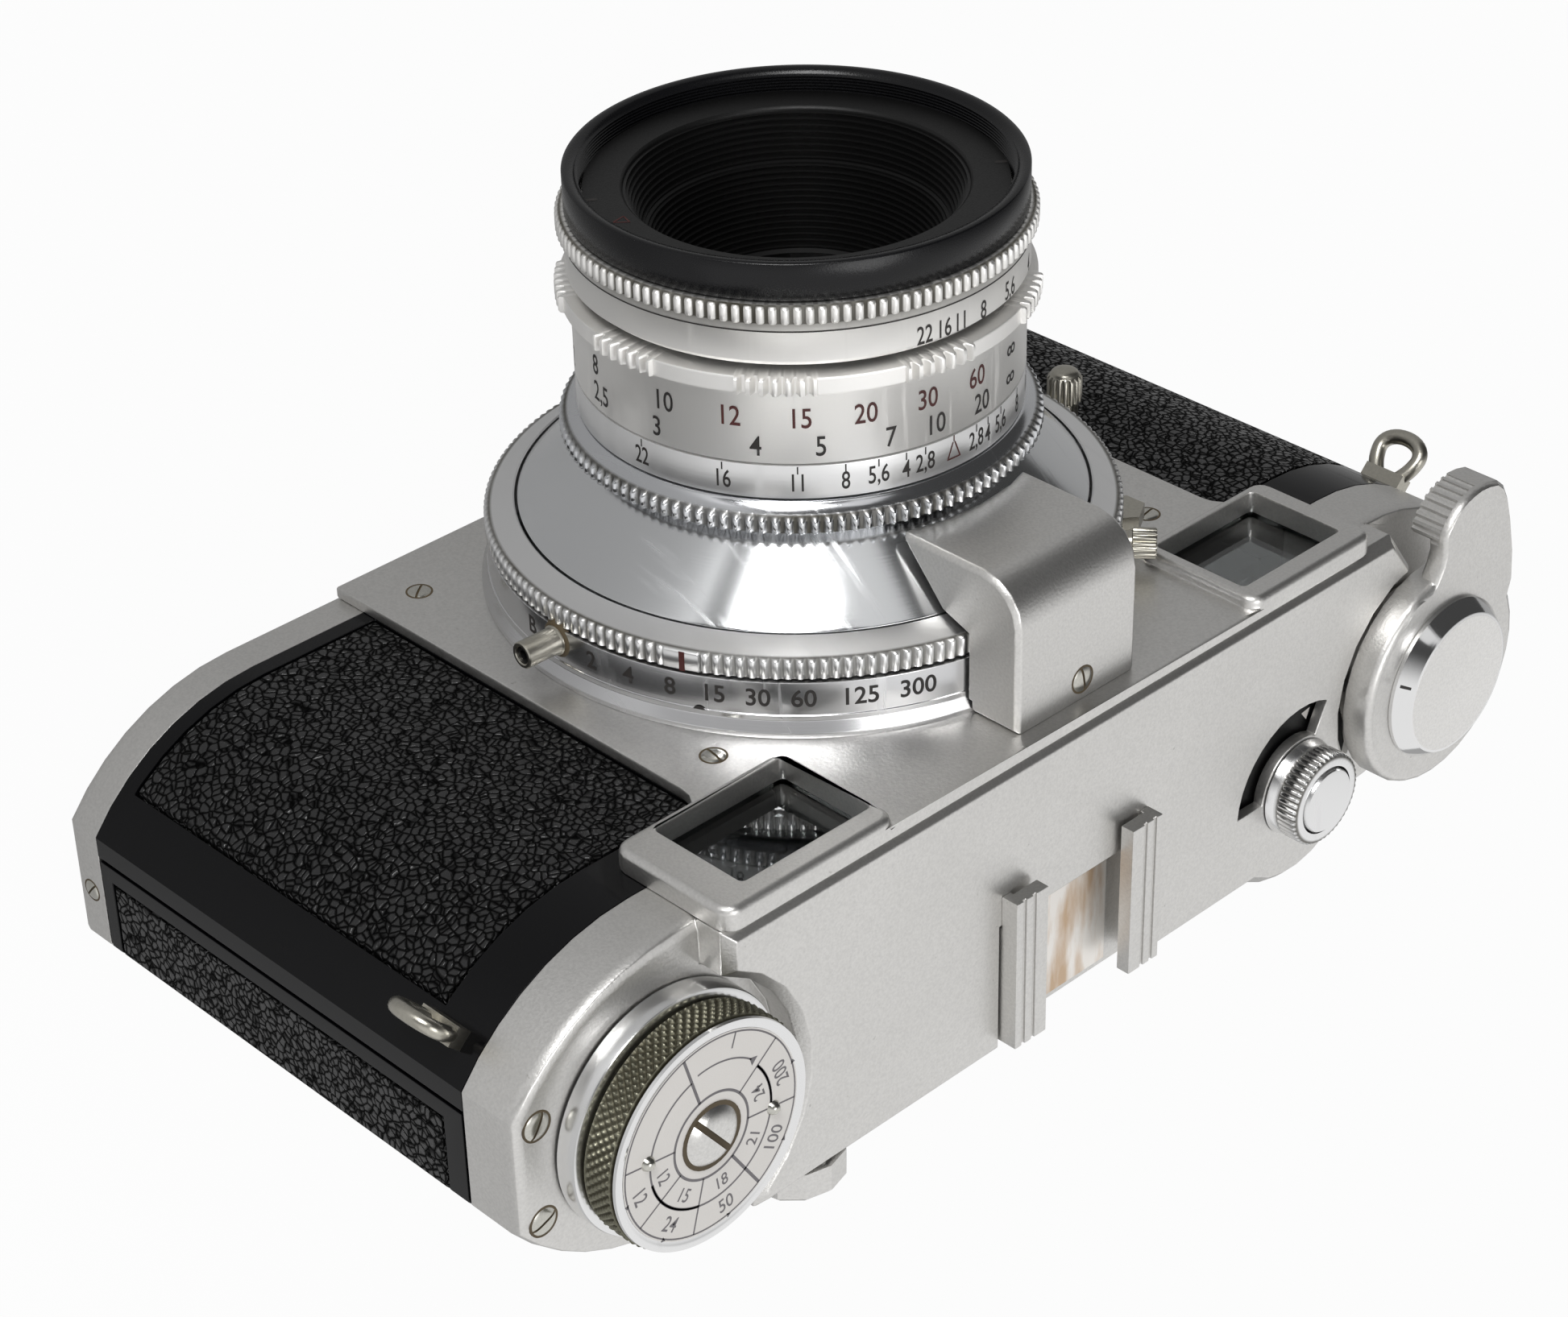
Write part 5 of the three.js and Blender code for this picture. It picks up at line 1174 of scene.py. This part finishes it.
def dial_print():
    drawing = bmesh.new()
    arcs = [
        (INNER_RING, 0.26, 0, 360), (OUTER_RING, 0.16, 0, 360), (MIDDLE_RING, 0.2, -74, 218),
        (MIDDLE_RING, THICK, 11, 75), (MIDDLE_RING, THICK, 171, 218),
        (ARROW_RING, THIN, 228, 280),
    ]
    for arc in arcs:
        merge_into(drawing, flat_arc(*arc))
    middle = (INNER_RING + OUTER_RING) / 2
    for angle, width in SPOKES:
        spoke = bar_bmesh(OUTER_RING - INNER_RING, width)
        merge_into(drawing, placed_flat(spoke, middle, angle, angle))
    merge_into(drawing, placed_flat(bar_bmesh(1.5, THIN), 8.9, 251, 251))
    merge_into(drawing, placed_flat(disc_bmesh(3, 0.55), ARROW_RING, 226, 226))
    for outer, inner, angle in FILM_SPEEDS:
        for text, height, radius in ((outer, 1.45, 8.3), (inner, 1.3, 5.6)):
            glyph = text_bmesh(text, height, 0.85, 0.012)
            merge_into(drawing, placed_flat(glyph, radius, angle, angle + 90))
        merge_into(drawing, placed_flat(disc_bmesh(3, 0.3), OUTER_RING + 0.1, angle, angle))
    stretched(drawing, (MM, MM, MM))
    shifted(drawing, Vector((KNOB[0], KNOB[1], DIAL_TOP + 0.03)) * MM)
    return flat_finish(drawing, "dial_print", "reminder", grey_ink)


print(dial_plate().name, dial_print().name)

# %% [markdown]
# ## Slotted screws
# Every screw is the same domed head with a slot cut across it. A boolean cuts the slot cleanly.

# %% Screws


def carved(bm, cutter):
    """A bmesh less another, through a boolean modifier."""
    objects = []
    for part in (bm, cutter):
        bmesh.ops.remove_doubles(part, verts=part.verts, dist=1e-7)
        bmesh.ops.recalc_face_normals(part, faces=part.faces)
        objects.append(in_scene("carve", mesh_of(part, "carve")))
    whole, tool = objects
    modifier = whole.modifiers.new("cut", "BOOLEAN")
    modifier.operation = "DIFFERENCE"
    modifier.solver = "EXACT"
    modifier.object = tool
    bpy.context.view_layer.update()
    graph = bpy.context.evaluated_depsgraph_get()
    result = bmesh.new()
    result.from_mesh(whole.evaluated_get(graph).to_mesh())
    for holder in objects:
        bpy.data.objects.remove(holder)
    return result


def box_bmesh(size, centre=ORIGIN):
    bm = bmesh.new()
    bmesh.ops.create_cube(bm, size=1)
    return shifted(stretched(bm, Vector(size) * MM), Vector(centre) * MM)


def aimed(bm, place, normal, turn=0):
    """Stands a piece that was built along Z at the origin on a place in mm, along a normal."""
    spun(bm, math.radians(turn))
    lean = Vector((0, 0, 1)).rotation_difference(Vector(normal)).to_matrix()
    bmesh.ops.rotate(bm, verts=bm.verts, matrix=lean)
    return shifted(bm, Vector(place) * MM)


def screw_head(name, body, stand, radius, material, *replaced, rise=0.22, sink=0.3):
    """A slotted head and the dirt round it. The stand is its place, its normal and its turn."""
    dome = [(radius * s, rise * (1 - s ** 4)) for s in (i / 8 for i in range(9))]
    bm = turned([*dome, (radius, -sink), (0, -sink)], ORIGIN, "Z", steps=48, closed=False)
    bm = carved(bm, box_bmesh((radius * 2.4, radius * 0.2, rise * 2.4), (0, 0, rise)))
    wide = radius * 1.14
    rim = [(0, -sink), (wide, -sink), (wide, 0.02), (0, 0.02)]
    seat = turned(rim, ORIGIN, "Z", steps=32, closed=False)
    merge_into(seat, box_bmesh((radius * 1.9, radius * 0.2, rise * 0.3)))
    finished(aimed(seat, *stand), name + "_seat", body, grime_paint)
    return finished(aimed(bm, *stand), name, body, material, *replaced)


UP, FRONT, REWIND_END, WIND_END = (0, 0, 1), (0, -1, 0), (1, 0, 0), (-1, 0, 0)
PLATE_FACE = place_of("front_plate")[0].y + 1.2
SCREWS = [
    ("plate_screw_1", (29.3, PLATE_FACE, 6.9), FRONT, 1.15, 35),
    ("plate_screw_2", (28.9, PLATE_FACE, 47.0), FRONT, 1.15, 80),
    ("plate_screw_3", (-29.3, PLATE_FACE, 6.9), FRONT, 1.15, -20),
    ("plate_screw_4", (-28.9, PLATE_FACE, 47.0), FRONT, 1.15, 10),
    ("recess_screw_1", (63.65, -12.3, 62.3), UP, 1.35, 60),
    ("recess_screw_2", (63.65, -2.1, 62.3), UP, 1.35, 20),
    ("cover_screw", (-0.2, -26.7, 64.2), UP, 1.25, 100),
    ("base_screw_rewind", (66.2, -6.9, 2.5), REWIND_END, 1.0, 50),
    ("base_screw_wind", (-62.8, -6.9, 2.5), WIND_END, 1.0, 10),
]
for name, place, normal, radius, slot_turn in SCREWS:
    screw_head(name, "body", (place, normal, slot_turn), radius, screw_steel)
dial_stand = ((KNOB[0], KNOB[1], DIAL_TOP + 0.1), UP, 127)
screw_head(
    "dial_screw_head", "rewind", dial_stand, 2.9, dial_screw_metal, "dial_screw",
    rise=0.75, sink=0.05,
)
for side in (-1, 1):
    dome = [(0.72 * s, DIAL_TOP + 0.65 * (1 - s ** 3)) for s in (i / 6 for i in range(7))]
    centre = (KNOB[0] + side * 7.1, KNOB[1] - side * 1.25, 0)
    pin = turned(dome, centre, "Z", steps=24, closed=False)
    finished(pin, f"dial_pin_{side + 2}", "reminder", screw_steel)
print(len(SCREWS) + 1, "screws")

# %% [markdown]
# ## Fittings round the shutter
# The flash socket is a short tube with a black liner and a pin in it. The self-timer's lever ends
# in a ribbed post with a domed cap, and the cable release screws into a small knurled fitting.

# %% Fittings
EYE_STEPS = 40
ROD_STEPS = 14


def on_rim(bm, angle, radius, y):
    """Stands a piece built along Z on the shutter's rim, pointing away from the lens."""
    x, z = math.cos(math.radians(angle)), math.sin(math.radians(angle))
    return aimed(bm, (x * radius, y, LENS_HEIGHT + z * radius), (x, 0, z))


def flash_socket():
    angle, y, root, tip = -2.5, -28.7, 29.6, 34.05
    end = tip - root
    tube = [
        (0.85, 0), (1.45, 0), (1.45, 0.7), (1.3, 0.8), (1.3, end - 0.12), (1.2, end),
        (0.95, end), (0.85, end - 0.1),
    ]
    liner = [
        (0, 0.2), (0.86, 0.2), (0.86, end - 0.25), (0.45, end - 0.25), (0.45, end - 1.6),
        (0, end - 1.6),
    ]
    pin = [(0, end - 1.7), (0.2, end - 1.7), (0.2, end - 0.7), (0, end - 0.6)]
    dirt = [(0, 0.0), (2.0, 0.0), (1.75, 0.3), (1.45, 0.5), (0, 0.5)]
    bm = on_rim(turned(tube, ORIGIN, "Z", steps=64), angle, root, y)
    finished(bm, "flash_socket", "body", nickel, "sync_socket")
    inner = [
        ("flash_liner", liner, 48, 0, matt_black), ("flash_pin", pin, 16, 0, nickel),
        ("flash_socket_dirt", dirt, 32, 0.1, grime_paint),
    ]
    for name, profile, steps, lift, material in inner:
        bm = turned(profile, ORIGIN, "Z", steps=steps, closed=False)
        finished(on_rim(bm, angle, root + lift, y), name, "body", material)


def timer_post():
    low, high = place_of("timer_lever")
    radius = (high.z - low.z) / 2 - 0.02
    x, z = low.x + radius + 0.02, (low.z + high.z) / 2
    neck, teeth = radius * 0.8, 16
    profile = [
        (0, high.y), (neck, high.y), (neck, low.y + 3.6), (radius, low.y + 3.5),
        (radius, low.y + 1.0), (radius * 0.85, low.y + 0.7),
    ]
    for t in (i * math.pi / 12 for i in range(7)):
        profile.append((neck * math.cos(t), low.y + 0.62 - 0.6 * math.sin(t)))
    bm = turned(profile, (x, 0, z), steps=teeth * TOOTH_STEPS, closed=False)
    rib(bm, teeth, radius, 0.3, (low.y + 0.9, low.y + 3.55), centre=(x, 0, z))
    body = body_of("timer_lever")
    finished(bm, "timer_post", body, nickel, "timer_lever", sharp=50)
    arm = box_bmesh((high.x - x, 1.5, radius * 1.3), ((high.x + x) / 2, high.y - 0.8, z))
    finished(arm, "timer_arm", body, nickel)


def release_fitting():
    teeth = 14
    profile = [
        (0, 0), (1.15, 0), (1.15, 0.9), (1.5, 1.0), (1.5, 3.1), (1.35, 3.25), (0.8, 3.25),
        (0.8, 2.2), (0, 2.2),
    ]
    bm = turned(profile, ORIGIN, "Z", steps=teeth * TOOTH_STEPS, closed=False)
    rib(bm, teeth, 1.5, 0.25, (0.95, 3.2), centre=ORIGIN, axis="Z")
    on_rim(bm, 131, 30.1, -27.3)
    finished(bm, "release_fitting", "body", nickel, "cable_fitting", sharp=50)


def strap_eye(node, side):
    """A bent rod: an egg-shaped loop that narrows towards the body."""
    low, high = place_of(node)
    way = Vector((side, -1, 0)).normalized()
    across, up = Vector((-way.y, way.x, 0)), Vector((0, 0, 1))
    x = high.x - 4.29 if side > 0 else low.x + 4.29
    root = Vector((x, high.y - 0.71, (low.z + high.z) / 2))
    bm = bmesh.new()
    rings = []
    for i in range(EYE_STEPS):
        t = 2 * math.pi * i / EYE_STEPS
        out = 2.8 + (2.1 if math.cos(t) > 0 else 2.9) * math.cos(t)
        rise = 2.35 * math.sin(t) * (1 + 0.22 * math.cos(t))
        centre = root + way * out + up * rise
        spread = (way * math.cos(t) + up * math.sin(t)).normalized()
        ring = []
        for a in (2 * math.pi * k / ROD_STEPS for k in range(ROD_STEPS)):
            round_rod = spread * 0.8 * math.cos(a) + across * 0.74 * math.sin(a)
            ring.append(bm.verts.new((centre + round_rod) * MM))
        rings.append(ring)
    for first, second in zip(rings, rings[1:] + rings[:1]):
        for k in range(ROD_STEPS):
            after = (k + 1) % ROD_STEPS
            bm.faces.new((first[k], first[after], second[after], second[k]))
    foot = spun(box_bmesh((1.9, 1.9, 4.6)), math.atan2(way.y, way.x))
    merge_into(bm, shifted(foot, (root + way * 0.1) * MM))
    finished(bm, node + "_eye", "body", nickel, node, sharp=60)


def counter_pointer():
    """The pale pointer seen in the counter's window."""
    bm = stretched(placed_flat(disc_bmesh(3, 0.75), 7.0, -112, -112), (MM, MM, MM))
    x, y, _ = middle_of("counter_disc")
    shifted(bm, Vector((x, y, place_of("counter_disc")[1].z + 0.02)) * MM)
    flat_finish(bm, "counter_pointer", body_of("counter_disc"), dial_white)


flash_socket()
timer_post()
release_fitting()
strap_eye("strap_lug_rewind", 1)
strap_eye("strap_lug_wind", -1)
counter_pointer()
print("fittings ready")

# %% [markdown]
# ## Release button, frame counter and wind lever
# The collar round the release is knurled. The wind lever keeps its CAD outline, with its edges
# eased, and carries a bright cap.

# %% Top controls
RELEASE = middle_of("release_collar")
HUB = middle_of("wind_hub_cap")
TOP_PLANE = place_of("top_housing")[1].z
COLLAR_TEETH = 46
COLLAR_R = 4.86
HUB_TICK = -19
HUB_CLEAR = 9.5


def release_parts():
    top = place_of("release_collar")[1].z
    profile = [
        (3.6, TOP_PLANE - 2.5), (4.3, TOP_PLANE - 2.5), (4.3, TOP_PLANE + 0.1),
        (5.04, TOP_PLANE + 0.12), (4.75, TOP_PLANE + 1.0), (4.6, TOP_PLANE + 1.2),
        (COLLAR_R, TOP_PLANE + 1.45), (COLLAR_R, top - 0.3), (4.7, top - 0.08), (4.45, top),
        (3.6, top),
    ]
    bm = turned(profile, RELEASE, "Z", steps=COLLAR_TEETH * TOOTH_STEPS)
    span = (TOP_PLANE + 1.3, top + 1)
    rib(bm, COLLAR_TEETH, COLLAR_R, 0.25, span, 0.6, centre=RELEASE, axis="Z")
    finish = knob_metal("collar_chrome", 4.6, 4.8, RELEASE)
    finished(bm, "release_collar_knurled", "body", finish, "release_collar", sharp=50)
    low, high = place_of("release_button")
    button = [
        (0, low.z), (3.4, low.z), (3.4, high.z - 0.3), (3.25, high.z - 0.06), (2.9, high.z),
        (0, high.z),
    ]
    bm = turned(button, RELEASE, "Z", steps=120, closed=False)
    finish = knob_metal("button_chrome", 1.0, 1.1, RELEASE, 0.25, 0.0)
    finished(bm, "release_cap", "release", finish, "release_button")


def hub_cap():
    """A bright bevelled rim round a satin top, with a tick on the bevel."""
    low, high = (corner.z for corner in place_of("wind_hub_cap"))
    rim = [
        (7.2, low), (8.5, low), (8.58, low + 0.08), (8.58, low + 0.45), (8.5, low + 0.58),
        (7.5, high - 0.06), (7.38, high - 0.01), (7.2, high - 0.01),
    ]
    polish = knob_metal("cap_chrome", 0.1, 0.2, HUB, 0.1, 0.0, slot="bright_silver")
    finished(turned(rim, HUB, "Z"), "hub_cap_rim", "wind", polish, "wind_hub_cap", sharp=25)
    top = [(0, low), (7.3, low), (7.3, high - 0.05), (7.22, high), (0, high)]
    bm = turned(top, HUB, "Z", steps=120, closed=False)
    finished(bm, "hub_cap_top", "wind", cap_satin, sharp=25)
    angle = math.radians(HUB_TICK)
    tick = spun(spun(box_bmesh((1.1, 0.28, 0.3)), math.radians(50), "Y"), angle)
    away = Vector((math.cos(angle), math.sin(angle), 0)) * 8.0
    shifted(tick, (Vector((HUB[0], HUB[1], (low + high) / 2 + 0.12)) + away) * MM)
    finished(tick, "hub_tick", "wind", black_ink)


def lever_arm():
    """The lever's top edge is rolled over widely, except round the cap."""
    bm = copy_of("wind_lever")
    top = max(v.co.z for v in bm.verts)
    centre = Vector(HUB) * MM
    rim = [
        e
        for e in hard_edges(bm)
        if all(v.co.z > top - 1e-5 for v in e.verts)
        and all(((v.co - centre).xy).length > HUB_CLEAR * MM for v in e.verts)
    ]
    ease(bm, rim, 0.95, segments=6, clamp_overlap=True)
    weighted(finished(bm, "wind_lever_arm", "wind", satin, "wind_lever", sharp=50))
    print("lever rim edges:", len(rim))


release_parts()
hub_cap()
lever_arm()

# %% [markdown]
# ## Body
# The body's own pieces keep their CAD shapes. A merged copy of each gets eased edges, because a
# real pressing or casting always has them, and weighted normals keep its flats flat.

# %% Body pieces
shoe_low, shoe_high = place_of("accessory_shoe")
LIP = 3.4
SHOE_FLOOR = 64.42


def grooved_shoe():
    """Two long grooves run along the top of each rail."""
    bm = copy_of("accessory_shoe", flatten=False)
    middle, length = (shoe_low.y + shoe_high.y) / 2, shoe_high.y - shoe_low.y + 1
    for rail in (shoe_low.x, shoe_high.x - LIP):
        for share in (0.3, 0.68):
            groove_centre = (rail + LIP * share, middle, shoe_high.z)
            bm = carved(bm, box_bmesh((0.4, length, 0.5), groove_centre))
    bmesh.ops.remove_doubles(bm, verts=bm.verts, dist=SAME_PLACE)
    ease(bm, hard_edges(bm), 0.1)
    weighted(finished(bm, "shoe", "body", satin, "accessory_shoe"))


def worn_material():
    """Chrome rubbed through to brown stains, in streaks along the slot."""
    material, tree, shader = blank_material("worn_floor", Metallic=0.8, Roughness=0.35)
    inputs = {"Vector": own_place(tree), "Scale": (1.0, 0.22, 1.0)}
    streaks = noisy(tree, linked(tree, "ShaderNodeMapping", inputs).outputs[0], 420.0, 8.0)
    amount = scaled(tree, streaks, 0.0, 1.0, 0.42, 0.62)
    chrome, stain = (0.84, 0.81, 0.77, 1), (0.56, 0.41, 0.28, 1)
    feed(tree, shader, Base_Color=mixed(tree, amount, chrome, stain))
    return material


def worn_floor():
    low, high = shoe_low.x + LIP + 0.4, shoe_high.x - LIP - 0.4
    bm = box_bmesh((high - low, 14.5, 0.04), ((low + high) / 2, -0.9, SHOE_FLOOR))
    finished(bm, "shoe_floor_wear", "body", worn_material())


dressed("base_plate", "base_cap", satin, 0.12)
dressed("body_casting", "body_shell", enamel, 0.1)
dressed("front_plate", "front_fascia", satin, 0.25)
dressed("top_housing", "top_cover", satin, 0.15)
grooved_shoe()
worn_floor()
dressed("rangefinder_cover", "cam_cover", satin, 0.15)
dressed("back_cover", "back_door", enamel, 0.1)
for node in ("front_leather_rewind", "front_leather_wind", "back_leather"):
    dressed(node, node + "_grained", leather, 0.12)
print("body dressed")

# %% [markdown]
# ## CAD nodes that stay as they are
# Inner pieces already have the right shape. They only need their finish.

# %% Finishes for the remaining nodes
GLASSES = (
    "viewfinder_window", "rangefinder_window", "eyepiece_lens", "beam_splitter",
    "rangefinder_prism",
)
NICKELS = ("tripod_socket", "hinge_pin", "rewind_shaft", "release_tab")
BLACKS = ["pressure_plate", "counter_disc", "take_up_spool", "lens_head", "rear_cell"]
BLACKS += [node for node in frame["nodes"] if node.startswith("iris_blade")]
REMAINING = [
    (clear_glass, GLASSES), (nickel, NICKELS), (matt_black, BLACKS),
    (satin, ["eyepiece_ring"]), (steel, ["pressure_spring"]), (brass, ["sprocket_drum"]),
]
for material, nodes in REMAINING:
    for node in nodes:
        mesh = frame["nodes"][node].data
        mesh.materials.clear()
        mesh.materials.append(material)
    print(material.name, "on", len(nodes), "nodes")

# %% [markdown]
# ## Studio
# The photograph has a white ground and soft light. Polished metal shows what is round it, so the
# studio has a few large bright panels and a grey surround between them: without something dark to
# mirror, chrome looks like white plastic. The floor is white to the camera, a grey that pales to
# one side to the lamps' light, and dimmer in a mirror.

# %% Floor, lamps and world
KEY_POWER = 2.6
SIDE_POWER = 0.12
TOP_POWER = 1.3
WORLD_LEVEL = 1.0
MIRRORED = 0.3
PAPER_SHARE = 0.97
DARK_SIDE = 0.06
PALE_SIDE = 0.92
FLOOR_DARK = 0.14
FLOOR_PALE = 0.42
PALING_WAY = (0.95, 0.3, 0)
PALE_WORLD_WAY = (0.3, 0.87, 0.2)


def paper_material():
    """Pale paper to light, and white to the camera and through glass."""
    material, tree, shader = blank_material("paper", Roughness=0.9)
    right = reckoned_vector(tree, "DOT_PRODUCT", own_place(tree), PALING_WAY)
    grey = scaled(
        tree, right, FLOOR_DARK, FLOOR_PALE, 0.03, 0.13, interpolation_type="SMOOTHSTEP"
    )
    feed(tree, shader, Base_Color=grey)
    ray = tree.nodes.new("ShaderNodeLightPath").outputs
    metal = reckoned(tree, "MULTIPLY", ray["Is Glossy Ray"], MIRRORED)
    glass = reckoned(tree, "MAXIMUM", metal, ray["Is Transmission Ray"])
    seen = reckoned(tree, "MAXIMUM", ray["Is Camera Ray"], glass)
    part = reckoned(tree, "MULTIPLY", seen, PAPER_SHARE)
    white = linked(tree, "ShaderNodeEmission", {"Color": (1, 1, 1, 1), "Strength": 1.0})
    inputs = {0: part, 1: shader.outputs[0], 2: white.outputs[0]}
    blend = linked(tree, "ShaderNodeMixShader", inputs)
    feed(tree, tree.nodes["Material Output"], Surface=blend.outputs[0])
    return material


def white_ground():
    bm = bmesh.new()
    bmesh.ops.create_grid(bm, x_segments=1, y_segments=1, size=2.0)
    shifted(bm, (0, 0, cad_low.z - 0.0002))
    floor = in_scene("floor", mesh_of(bm, "floor"))
    floor.data.materials.append(paper_material())


def panel(name, place, size, power, target=(0, -0.03, 0.03)):
    """A rectangular lamp that faces the camera's lens. Lengths here are in metres."""
    data = bpy.data.lights.new(name, "AREA")
    data.shape = "RECTANGLE"
    data.size, data.size_y = size
    data.energy = power
    lamp = in_scene(name, data)
    lamp.location = place
    aim = Vector(target) - Vector(place)
    lamp.rotation_euler = aim.to_track_quat("-Z", "Y").to_euler()


def studio_world():
    """Dark before the object and pale behind it."""
    world = bpy.data.worlds.new("studio")
    world.use_nodes = True
    tree = world.node_tree
    back = tree.nodes["Background"]
    place = tree.nodes.new("ShaderNodeTexCoord").outputs["Generated"]
    behind = reckoned_vector(tree, "DOT_PRODUCT", place, PALE_WORLD_WAY)
    shades = scaled(
        tree, behind, DARK_SIDE, PALE_SIDE, -0.3, 0.4, interpolation_type="SMOOTHSTEP"
    )
    feed(tree, back, Color=shades)
    back.inputs["Strength"].default_value = WORLD_LEVEL
    bpy.context.scene.world = world


white_ground()
studio_world()
panel("key", (0.28, -0.57, 0.225), (0.25, 0.24), KEY_POWER)
panel("side", (0.05, -0.62, 0.42), (0.20, 0.26), SIDE_POWER)
panel("top", (0.15, -0.15, 0.70), (0.35, 0.35), TOP_POWER)
bpy.context.scene.view_settings.view_transform = "Standard"
print("studio ready")
